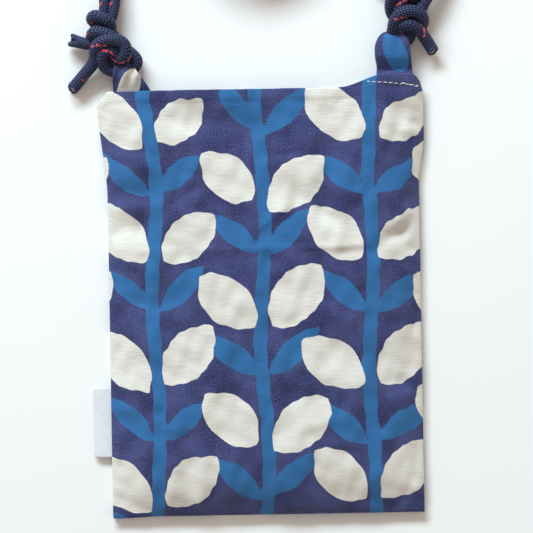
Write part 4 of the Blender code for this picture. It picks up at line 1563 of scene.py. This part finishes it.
@dataclass
class StrapRope:
    """One of the strap's two ropes: from knot to knot, its slack laid in a flat coil."""

    letter: str
    braid: BraidedRope
    material: bpy.types.Material
    left_knot: Route
    left_run: Route
    right_run: Route
    right_knot: Route
    coil_height: float
    coil_centre: tuple[float, float] = (2.0, 198.0)
    coil_radii: tuple[float, ...] = (35.5, 30.0, 24.5, 24.5, 30.0, 35.5)
    coil_layers: tuple[int, ...] = (0, 0, 0, 1, 1, 1)
    # In which of a turn's last three windows the rope moves on to the next turn, and the
    # window's angle in degrees, so that these moves lie side by side
    coil_steps: tuple[int, ...] = (2, 2, 1, 0, 0)
    step_window: float = 40.0
    layer_step: float = 5.5
    coil_start: float = 172.0
    step_angle: float = 10.0
    half_turns: int = 11
    around: int = 24
    spacing: float = 0.8 * MM
    length: float = 1.25

    def coil(self) -> list[Point]:
        """The coil's route: in along the table, up one layer and out again, in millimetres.

        Returns:
            The coil's points.
        """
        points = []
        total = 180.0 * self.half_turns - 2 * (180.0 - self.coil_start)
        for travelled in np.arange(0.0, total + 0.1, self.step_angle):
            swept = travelled + 180.0 - self.coil_start
            turn = int(swept // 360.0)
            radius, layer = self.coil_radii[turn], float(self.coil_layers[turn])
            if turn < len(self.coil_steps):
                window_end = 360.0 - self.step_window * (2 - self.coil_steps[turn])
                share = float(smooth((swept % 360.0 - (window_end - self.step_window)) / self.step_window))
                radius += (self.coil_radii[turn + 1] - radius) * share
                layer += (self.coil_layers[turn + 1] - layer) * share
            angle = math.radians(180.0 - swept)
            points.append((
                self.coil_centre[0] + radius * math.cos(angle),
                self.coil_centre[1] + radius * math.sin(angle),
                self.coil_height + layer * self.layer_step,
            ))
        return points

    def build(self, knots: Sequence[bpy.types.Object]) -> bpy.types.Object:
        """Args:
            knots: The tied ends; not used.

        Returns:
            The rope's object.
        """
        route = [
            self.left_knot[HIDDEN_POINTS], self.left_knot[1], *self.left_run, *self.coil(),
            *self.right_run, self.right_knot[1], self.right_knot[HIDDEN_POINTS],
        ]
        centres = smooth_route(np.array(route) * MM, self.spacing)
        tube = RopeTube(self.braid, centres, self.around)
        piece = rope_piece(f"strap_rope_{self.letter}", [tube], self.material)
        nodes = [f"rope_{self.letter}_{part}" for part in ("left_run", "coil", "right_run")]
        settle(piece, "braided_rope", *nodes)
        travelled = float(np.linalg.norm(np.diff(centres, axis=0), axis=1).sum())
        LOG.info("%s runs %.3f m", piece.name, travelled)
        return piece


@dataclass(frozen=True)
class TabShape:
    """One tab as it lies: its side path, and one plain leaf printed on it, in millimetres."""

    side: str
    path: tuple[tuple[float, float], ...]
    ink: Ink
    leaf_centre: tuple[float, float]
    leaf_lean: float
    leaf_half_width: float
    leaf_half_length: float
    unprinted: float = 10.0

    def edges(self, y: np.ndarray) -> tuple[np.ndarray, np.ndarray]:
        """X of the tab's left and right edges at height y."""
        raise NotImplementedError

    def gather(self, x: np.ndarray, y: np.ndarray) -> np.ndarray:
        """How far soft folds lift the tab's upper leg at each place."""
        raise NotImplementedError

    def inks(self, x: np.ndarray, y: np.ndarray) -> dict[str, np.ndarray]:
        """The tab's print: one leaf on the ground.

        Args:
            x: Places across.
            y: Places up.

        Returns:
            For each ink, the signed distance at each place, negative inside its shapes.
        """
        centre_x, centre_y = self.leaf_centre
        across = (x - centre_x - self.leaf_lean * (y - centre_y)) / self.leaf_half_width
        along = (y - centre_y) / self.leaf_half_length
        leaf = (np.hypot(across, along) - 1.0) * self.leaf_half_width
        bare = np.full(np.shape(x), self.unprinted)
        return {ink.value: leaf if ink is self.ink else bare for ink in Ink}


@dataclass(frozen=True)
class GatheredTab(TabShape):
    """The left tab, whose inner edge the rope draws together into deep folds."""

    outer_x: float = -71.3
    outer_shift: float = 0.9
    outer_from: float = 99.0
    outer_run: float = 7.0
    inner_x: float = -52.2
    inner_shift: float = 8.6
    inner_from: float = 91.0
    inner_run: float = 17.0
    fold_height: float = 1.0
    fold_pitch: float = 6.3
    fold_lean: float = 0.25
    fold_x: float = -66.9
    fold_y: float = 100.0
    fold_from: float = 94.0
    fold_run: float = 9.0

    def edges(self, y: np.ndarray) -> tuple[np.ndarray, np.ndarray]:
        """X of the tab's outer and inner edges.

        Args:
            y: Places up.

        Returns:
            The outer and the inner edge's X at each place.
        """
        outer = self.outer_x + self.outer_shift * smooth((y - self.outer_from) / self.outer_run)
        inner = self.inner_x - self.inner_shift * smooth((y - self.inner_from) / self.inner_run)
        return outer, inner

    def gather(self, x: np.ndarray, y: np.ndarray) -> np.ndarray:
        """How far the folds under the rope lift the tab's upper leg.

        Args:
            x: Places across.
            y: Places up.

        Returns:
            The lift at each place.
        """
        near = smooth((y - self.fold_from) / self.fold_run)
        place = x - self.fold_x - self.fold_lean * (y - self.fold_y)
        return self.fold_height * near * np.sin(2 * math.pi * place / self.fold_pitch)


@dataclass(frozen=True)
class RoundTab(TabShape):
    """The right tab, a flat round-nosed loop with soft folds at its nose and its root."""

    left_x: float = 60.2
    left_sway: float = 0.7
    sway_y: float = 97.0
    sway_length: float = 4.0
    sway_end: float = 112.0
    sway_fade: float = 8.0
    right_x: float = 78.8
    right_shift: float = 1.3
    right_from: float = 99.0
    right_run: float = 14.0
    nose_from: float = 112.5
    nose_length: float = 8.3
    nose_round: float = 6.2
    nose_fold: float = 0.35
    nose_fold_x: float = 66.0
    nose_fold_pitch: float = 7.5
    nose_fold_from: float = 108.0
    nose_fold_run: float = 9.0
    root_fold: float = 0.3
    root_fold_place: tuple[float, float] = (62.0, 101.0)
    root_fold_lean: float = 0.6
    root_fold_pitch: float = 9.0
    root_fold_to: float = 106.0
    root_fold_run: float = 6.0

    def edges(self, y: np.ndarray) -> tuple[np.ndarray, np.ndarray]:
        """X of the tab's left and right edges, which round off to its nose.

        Args:
            y: Places up.

        Returns:
            The left and the right edge's X at each place.
        """
        nose = np.clip((y - self.nose_from) / self.nose_length, 0.0, 1.0)
        narrow = self.nose_round * (1 - np.sqrt(1 - nose**2))
        sway = self.left_sway * np.sin((y - self.sway_y) / self.sway_length)
        left = self.left_x + sway * smooth((self.sway_end - y) / self.sway_fade) + narrow
        shift = self.right_shift * smooth((y - self.right_from) / self.right_run)
        return left, self.right_x - shift - narrow

    def gather(self, x: np.ndarray, y: np.ndarray) -> np.ndarray:
        """How far the soft folds lift the tab's upper leg.

        Args:
            x: Places across.
            y: Places up.

        Returns:
            The lift at each place.
        """
        at_nose = self.nose_fold * smooth((y - self.nose_fold_from) / self.nose_fold_run)
        ripple = at_nose * np.sin(2 * math.pi * (x - self.nose_fold_x) / self.nose_fold_pitch)
        at_root = self.root_fold * smooth((self.root_fold_to - y) / self.root_fold_run)
        root_x, root_y = self.root_fold_place
        place = x - root_x + self.root_fold_lean * (y - root_y)
        return ripple + at_root * np.sin(2 * math.pi * place / self.root_fold_pitch)


LEFT_TAB = GatheredTab(
    "left",
    (
        (79.7, 2.45), (85.0, 2.45), (90.7, 2.45), (94.5, 1.8), (98.5, 1.1), (102.5, 1.0),
        (105.6, 2.0), (107.0, 4.2), (106.3, 6.5), (104.0, 7.9), (101.3, 7.9), (98.0, 6.5),
        (94.6, 4.9), (91.0, 3.9), (86.0, 3.75), (79.7, 3.75),
    ),
    Ink.CREAM, leaf_centre=(-63.4, 95.0), leaf_lean=0.3, leaf_half_width=5.6, leaf_half_length=9.5,
)
RIGHT_TAB = RoundTab(
    "right",
    (
        (86.3, 6.9), (92.0, 6.9), (97.3, 6.6), (102.5, 4.2), (107.0, 1.9), (112.0, 1.15),
        (116.2, 1.15), (119.2, 2.4), (120.4, 4.6), (119.2, 7.0), (116.2, 8.15), (112.0, 8.3),
        (108.0, 8.0), (104.6, 6.3), (101.6, 4.9), (98.4, 5.6), (95.0, 7.6), (91.0, 8.2), (86.3, 8.1),
    ),
    Ink.BLUE, leaf_centre=(70.2, 110.0), leaf_lean=-0.3, leaf_half_width=5.8, leaf_half_length=9.6,
)


@dataclass
class TabLoop:
    """A cloth tab folded round the rope, both its legs sewn inside the mouth."""

    shape: TabShape
    material: bpy.types.Material
    ceiling: Callable[[np.ndarray, np.ndarray], np.ndarray] | None = None
    thickness: float = 1.25
    edge_power: int = 5
    columns: int = 40
    spacing: float = 0.55

    def build(self) -> bpy.types.Object:
        """Make the tab as one closed band.

        Returns:
            The tab's object.
        """
        shape = self.shape
        path = smooth_route([(0.0, y, z) for y, z in shape.path], self.spacing)
        tangents = np.gradient(path, axis=0)
        tangents /= np.linalg.norm(tangents, axis=1, keepdims=True)
        outward = np.stack([0.0 * path[:, 0], tangents[:, 2], -tangents[:, 1]], axis=1)
        u = -np.cos(np.linspace(0.0, math.pi, self.columns + 1))
        ring_u = np.concatenate([u, u[-2:0:-1]])
        lip = np.concatenate([np.ones_like(u), -np.ones(len(u) - 2)])
        lip[[0, self.columns]] = 0.0
        y = path[:, 1][:, None] + 0.0 * ring_u
        left, right = shape.edges(y)
        x = (left + right) / 2 + ring_u * (right - left) / 2
        half = self.thickness / 2 * np.sqrt(1.0 - np.abs(ring_u) ** self.edge_power) * lip
        rise = shape.gather(x, y) * np.abs(outward[:, 2:3]) * (path[:, 2:3] > path[:, 2].mean())
        height = path[:, 2][:, None] + rise
        if self.ceiling is not None:
            height = np.minimum(height, self.ceiling(x, y))
        points = np.stack([x, y, height], axis=-1) + outward[:, None] * half[..., None]
        rings, around, _ = points.shape
        steps = np.linalg.norm(np.diff(path, axis=0), axis=1)
        travelled = np.concatenate([[0.0], np.cumsum(steps)])
        flat = np.stack([x, travelled[:, None] + 0.0 * x], axis=-1).reshape(-1, 2) * MM
        values = {key: value.ravel() * MM for key, value in shape.inks(x, y).items()}
        obj = new_piece(
            f"{shape.side}_tab_cloth", points.reshape(-1, 3) * MM,
            band_faces(rings, around, flip=True), [self.material], flat, values,
        )
        settle(obj, "printed_canvas", f"{shape.side}_tab")
        return obj


@dataclass
class SideLabel:
    """The small bare label folded in two, whose ends are caught in the left seam."""

    form: PouchForm
    material: bpy.types.Material
    height: float = 35.0 * MM
    middle_y: float = -72.4 * MM
    reach: float = 9.25 * MM
    root_inset: float = 0.9 * MM
    cloth: float = 0.28 * MM
    half_gap: float = 0.26 * MM
    corner: float = 2.2 * MM
    droop: float = 0.5 * MM
    ripple: float = 0.16 * MM
    ripple_length: float = 5.2 * MM
    mouth_spread: float = 0.8
    top_round_share: float = 0.35
    rows: int = 56
    leg_columns: int = 14
    turn_columns: int = 8

    def build(self) -> bpy.types.Object:
        """Make the label.

        Returns:
            The label's object.
        """
        left, _ = self.form.side_edges(np.array(self.middle_y))
        root_x = float(left) + self.root_inset
        tip_x = float(left) - self.reach + self.half_gap + self.cloth / 2
        leg = np.linspace(0.0, 1.0, self.leg_columns)
        turn = np.linspace(0.0, math.pi, self.turn_columns + 1)[1:-1]
        reach_x = np.concatenate([
            root_x + (tip_x - root_x) * leg, tip_x - self.half_gap * np.sin(turn),
            (root_x + (tip_x - root_x) * leg)[::-1],
        ])
        layer = np.concatenate([
            np.full(self.leg_columns, self.half_gap), self.half_gap * np.cos(turn),
            np.full(self.leg_columns, -self.half_gap),
        ])
        out = np.clip((root_x - reach_x) / (root_x - tip_x), 0.0, 1.1)
        past = np.clip((self.corner - (reach_x - (tip_x - self.half_gap))) / self.corner, 0.0, 1.0)
        shorten = self.corner * (1.0 - np.sqrt(1.0 - past**2))
        low = self.middle_y - self.height / 2 + shorten
        high = self.middle_y + self.height / 2 - self.top_round_share * shorten
        share = np.linspace(0.0, 1.0, self.rows)[:, None]
        y = low + (high - low) * share
        x = reach_x + 0.0 * y
        opening = 1.0 + self.mouth_spread * np.sin(math.pi * np.clip(out, 0.0, 1.0))
        wave = self.ripple * np.sin(y / self.ripple_length) * out
        z = self.form.seam_height + layer * opening - self.droop * out**2 + wave
        points = np.stack([x, y, z], axis=-1)
        steps = np.linalg.norm(np.diff(points, axis=1), axis=2)
        wide = np.concatenate([np.zeros((self.rows, 1)), np.cumsum(steps, axis=1)], axis=1)
        flat = np.stack([wide, y], axis=-1).reshape(-1, 2)
        rows, columns, _ = points.shape
        obj = new_piece(
            "side_label_tape", points.reshape(-1, 3), grid_faces(rows, columns), [self.material], flat,
        )
        thicken(obj, self.cloth)
        settle(obj, "woven_label", "side_label")
        return obj


@dataclass
class StitchRow:
    """A row of hand-guided machine stitches that follows the cloth."""

    name: str
    material: bpy.types.Material
    line: np.ndarray
    pitch: float = 2.6 * MM
    stitch: float = 1.8 * MM
    thread: float = 0.19 * MM
    sink: float = 0.26 * MM
    sway: float = 0.14
    arch_steps: int = 10
    thread_sides: int = 8
    seed: int = 4

    def tree(self) -> bpy.types.NodeTree:
        """The node tree that lays stitches along a line of edges.

        Returns:
            A geometry node group with the stitch sizes as inputs.
        """
        tree = bpy.data.node_groups.new("thread_stitches", "GeometryNodeTree")
        sockets = (
            ("Line", "NodeSocketGeometry"), ("Pitch", "NodeSocketFloat"), ("Stitch", "NodeSocketFloat"),
            ("Thread", "NodeSocketFloat"), ("Sink", "NodeSocketFloat"), ("Seed", "NodeSocketInt"),
            ("Finish", "NodeSocketMaterial"),
        )
        for name, kind in sockets:
            tree.interface.new_socket(name=name, in_out="INPUT", socket_type=kind)
        tree.interface.new_socket(name="Stitches", in_out="OUTPUT", socket_type="NodeSocketGeometry")
        given = add_node(tree, "NodeGroupInput").outputs
        row = add_node(tree, "GeometryNodeMeshToCurve", {"Mesh": given["Line"]})
        spaced = add_node(
            tree, "GeometryNodeResampleCurve", {"Curve": row.outputs[0], "Length": given["Pitch"]},
            mode="LENGTH",
        )
        half = add_node(
            tree, "ShaderNodeMath", {0: given["Stitch"], 1: 0.5}, operation="MULTIPLY"
        ).outputs[0]
        back = add_node(tree, "ShaderNodeMath", {0: half, 1: -1.0}, operation="MULTIPLY").outputs[0]
        depth = add_node(
            tree, "ShaderNodeMath", {0: given["Sink"], 1: -1.0}, operation="MULTIPLY"
        ).outputs[0]
        start = add_node(tree, "ShaderNodeCombineXYZ", {"X": back, "Z": depth}).outputs[0]
        middle = add_node(tree, "ShaderNodeCombineXYZ", {"Z": given["Sink"]}).outputs[0]
        end = add_node(tree, "ShaderNodeCombineXYZ", {"X": half, "Z": depth}).outputs[0]
        arch = add_node(
            tree, "GeometryNodeCurveQuadraticBezier",
            {"Resolution": self.arch_steps, "Start": start, "Middle": middle, "End": end},
        )
        section = add_node(
            tree, "GeometryNodeCurvePrimitiveCircle",
            {"Resolution": self.thread_sides, "Radius": given["Thread"]},
        )
        thread = add_node(
            tree, "GeometryNodeCurveToMesh",
            {"Curve": arch.outputs[0], "Profile Curve": section.outputs[0], "Fill Caps": True},
        )
        tangent = add_node(tree, "GeometryNodeInputTangent").outputs[0]
        aligned = add_node(tree, "FunctionNodeAlignRotationToVector", {"Vector": tangent}, axis="X")
        sway = add_node(
            tree, "FunctionNodeRandomValue",
            {0: (0.0, 0.0, -self.sway), 1: (0.0, 0.0, self.sway), "Seed": given["Seed"]},
            data_type="FLOAT_VECTOR",
        )
        turned = add_node(
            tree, "FunctionNodeRotateRotation",
            {"Rotation": aligned.outputs[0], "Rotate By": sway.outputs[0]}, rotation_space="LOCAL",
        )
        laid = add_node(
            tree, "GeometryNodeInstanceOnPoints",
            {"Points": spaced.outputs[0], "Instance": thread.outputs[0], "Rotation": turned.outputs[0]},
        )
        real = add_node(tree, "GeometryNodeRealizeInstances", {"Geometry": laid.outputs[0]})
        finished = add_node(
            tree, "GeometryNodeSetMaterial", {"Geometry": real.outputs[0], "Material": given["Finish"]}
        )
        add_node(tree, "NodeGroupOutput", {"Stitches": finished.outputs[0]})
        return tree

    def build(self) -> bpy.types.Object:
        """Lay the stitches and keep them as a plain mesh.

        Returns:
            The stitches' object.
        """
        mesh = bpy.data.meshes.new(self.name)
        mesh.from_pydata(self.line.tolist(), [(i, i + 1) for i in range(len(self.line) - 1)], [])
        obj = bpy.data.objects.new(self.name, mesh)
        bpy.context.scene.collection.objects.link(obj)
        tree = bpy.data.node_groups.get("thread_stitches") or self.tree()
        modifier = obj.modifiers.new("stitches", "NODES")
        modifier.node_group = tree
        wanted = {
            "Pitch": self.pitch, "Stitch": self.stitch, "Thread": self.thread, "Sink": self.sink,
            "Seed": self.seed, "Finish": self.material,
        }
        for item in tree.interface.items_tree:
            if item.in_out == "INPUT" and item.name in wanted:
                modifier[item.identifier] = wanted[item.name]
        graph = bpy.context.evaluated_depsgraph_get()
        obj.data = bpy.data.meshes.new_from_object(obj.evaluated_get(graph))
        obj.modifiers.clear()
        obj.data.shade_smooth()
        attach(obj, BODY)
        LOG.info("%s: %d faces", obj.name, len(obj.data.polygons))
        return obj


@dataclass
class Studio:
    """A pale painted table, a large soft window at the upper left, and an even sky."""

    floor_colour: str = "#F6F9F8"
    floor_size: float = 6.0
    floor_drop: float = 0.15 * MM
    key_place: Point = (-0.6, 1.65, 1.1)
    key_size: tuple[float, float] = (1.4, 0.45)
    key_power: float = 56.0
    key_colour: tuple[float, float, float] = (0.77, 0.91, 1.0)
    sky_colour: tuple[float, float, float] = (1.0, 0.86, 0.76)
    sky_strength: float = 0.5

    def camera(self) -> bpy.types.Object:
        """Set the camera straight over the pouch, at the photograph's frame.

        Returns:
            The camera.
        """
        data = bpy.data.cameras.new("camera")
        data.sensor_width = SENSOR
        data.lens = SENSOR * (VIEW_DISTANCE - VIEW_PLANE) / VIEW_WIDTH
        data.clip_start = 0.01
        camera = bpy.data.objects.new("camera", data)
        camera.location = (*VIEW_CENTRE, VIEW_DISTANCE)
        camera.rotation_euler = (0.0, 0.0, VIEW_TURN)
        bpy.context.scene.collection.objects.link(camera)
        bpy.context.scene.camera = camera
        return camera

    def build(self) -> None:
        """Make the table, the lamp and the sky."""
        bpy.context.scene.view_settings.view_transform = "Standard"
        # Matt white paint scatters light evenly: the table shows soft shadows and no reflection
        material, _, shader = principled("matt white paint")
        shader.inputs["Base Color"].default_value = linear(self.floor_colour)
        shader.inputs["Roughness"].default_value = 1.0
        shader.inputs["Specular IOR Level"].default_value = 0.0
        half = self.floor_size / 2
        corners = np.array([(-half, -half, 0), (half, -half, 0), (half, half, 0), (-half, half, 0)])
        corners[:, 2] = -self.floor_drop
        floor = new_piece("table_top", corners, [(0, 1, 2, 3)], [material])
        lamp = bpy.data.lights.new("window", "AREA")
        lamp.shape = "RECTANGLE"
        lamp.size, lamp.size_y = self.key_size
        lamp.energy = self.key_power
        lamp.color = self.key_colour
        key = bpy.data.objects.new("window", lamp)
        key.location = self.key_place
        key.rotation_euler = Vector(self.key_place).to_track_quat("Z", "Y").to_euler()
        bpy.context.scene.collection.objects.link(key)
        world = bpy.data.worlds.new("sky")
        world.use_nodes = True
        sky = world.node_tree.nodes["Background"]
        sky.inputs["Color"].default_value = (*self.sky_colour, 1.0)
        sky.inputs["Strength"].default_value = self.sky_strength
        bpy.context.scene.world = world


def main() -> None:
    """Build every sub-assembly in order."""
    logging.basicConfig(level=logging.INFO, format="%(message)s")
    studio = Studio()
    studio.camera()
    rope = BraidedRope()
    rope_finish = rope.material("braided polyester cord")
    left_knot = Knot(
        "left", rope, rope_finish, (LEFT_KNOT_ROPE_A, LEFT_KNOT_ROPE_B),
        (RopeEnd.SPLIT, RopeEnd.CUT), (0.0, 0.3),
    ).build()
    right_knot = Knot(
        "right", rope, rope_finish, (RIGHT_KNOT_ROPE_A, RIGHT_KNOT_ROPE_B),
        (RopeEnd.CUT, RopeEnd.CUT), (0.2, 0.6),
    ).build()
    StrapRope(
        "a", rope, rope_finish, LEFT_KNOT_ROPE_A, ROPE_A_LEFT_RUN, ROPE_A_RIGHT_RUN,
        RIGHT_KNOT_ROPE_A, coil_height=2.75,
    ).build([left_knot, right_knot])
    StrapRope(
        "b", rope, rope_finish, LEFT_KNOT_ROPE_B, ROPE_B_LEFT_RUN, ROPE_B_RIGHT_RUN,
        RIGHT_KNOT_ROPE_B, coil_height=14.05,
    ).build([left_knot, right_knot])

    form = PouchForm()
    canvas = PrintedCanvas()
    cloth = canvas.material("printed canvas")
    reverse = canvas.material("printed canvas wrong side", wrong_side=0.72)
    front = OuterPanel(
        form, PanelSide.FRONT, LeafPrint(), ClothRelief(FRONT_CREASES), materials=[cloth, reverse]
    )
    back = OuterPanel(
        form, PanelSide.BACK, LeafPrint(first_column=18.0, first_node=8.0, seed=23), ClothRelief(seed=9),
        materials=[cloth, reverse],
    )
    lining_cotton = PlainWeave("#D8D4C8", "#C6C1B4", roughness=0.9, pitch=0.9 * MM, depth=0.05 * MM)
    lining_finish = lining_cotton.material("undyed lining cotton")
    for panel in (front, back):
        panel.build()
        Lining(panel, lining_finish).build()
    TabLoop(LEFT_TAB, cloth).build()
    TabLoop(RIGHT_TAB, cloth, ceiling=front.height_inside).build()
    label_tape = PlainWeave(
        "#EEF1F6", "#DDE3EC", roughness=0.5, pitch=0.5 * MM, depth=0.04 * MM, sheen=0.05
    )
    SideLabel(form, label_tape.material("white woven label tape")).build()
    thread = SewingThread().material("off-white sewing thread")
    rows = (
        ("right_tab_stitches", (56.3, 95.8), (80.8, 93.7), 0.19 * MM),
        ("right_tab_back_stitches", (74.2, 94.6), (80.3, 93.2), 0.23 * MM),
    )
    for name, start, end, thread_radius in rows:
        line = front.seam_line(start, end)
        StitchRow(name, thread, line, thread=thread_radius).build()
    studio.build()


if __name__ == "__main__":
    main()
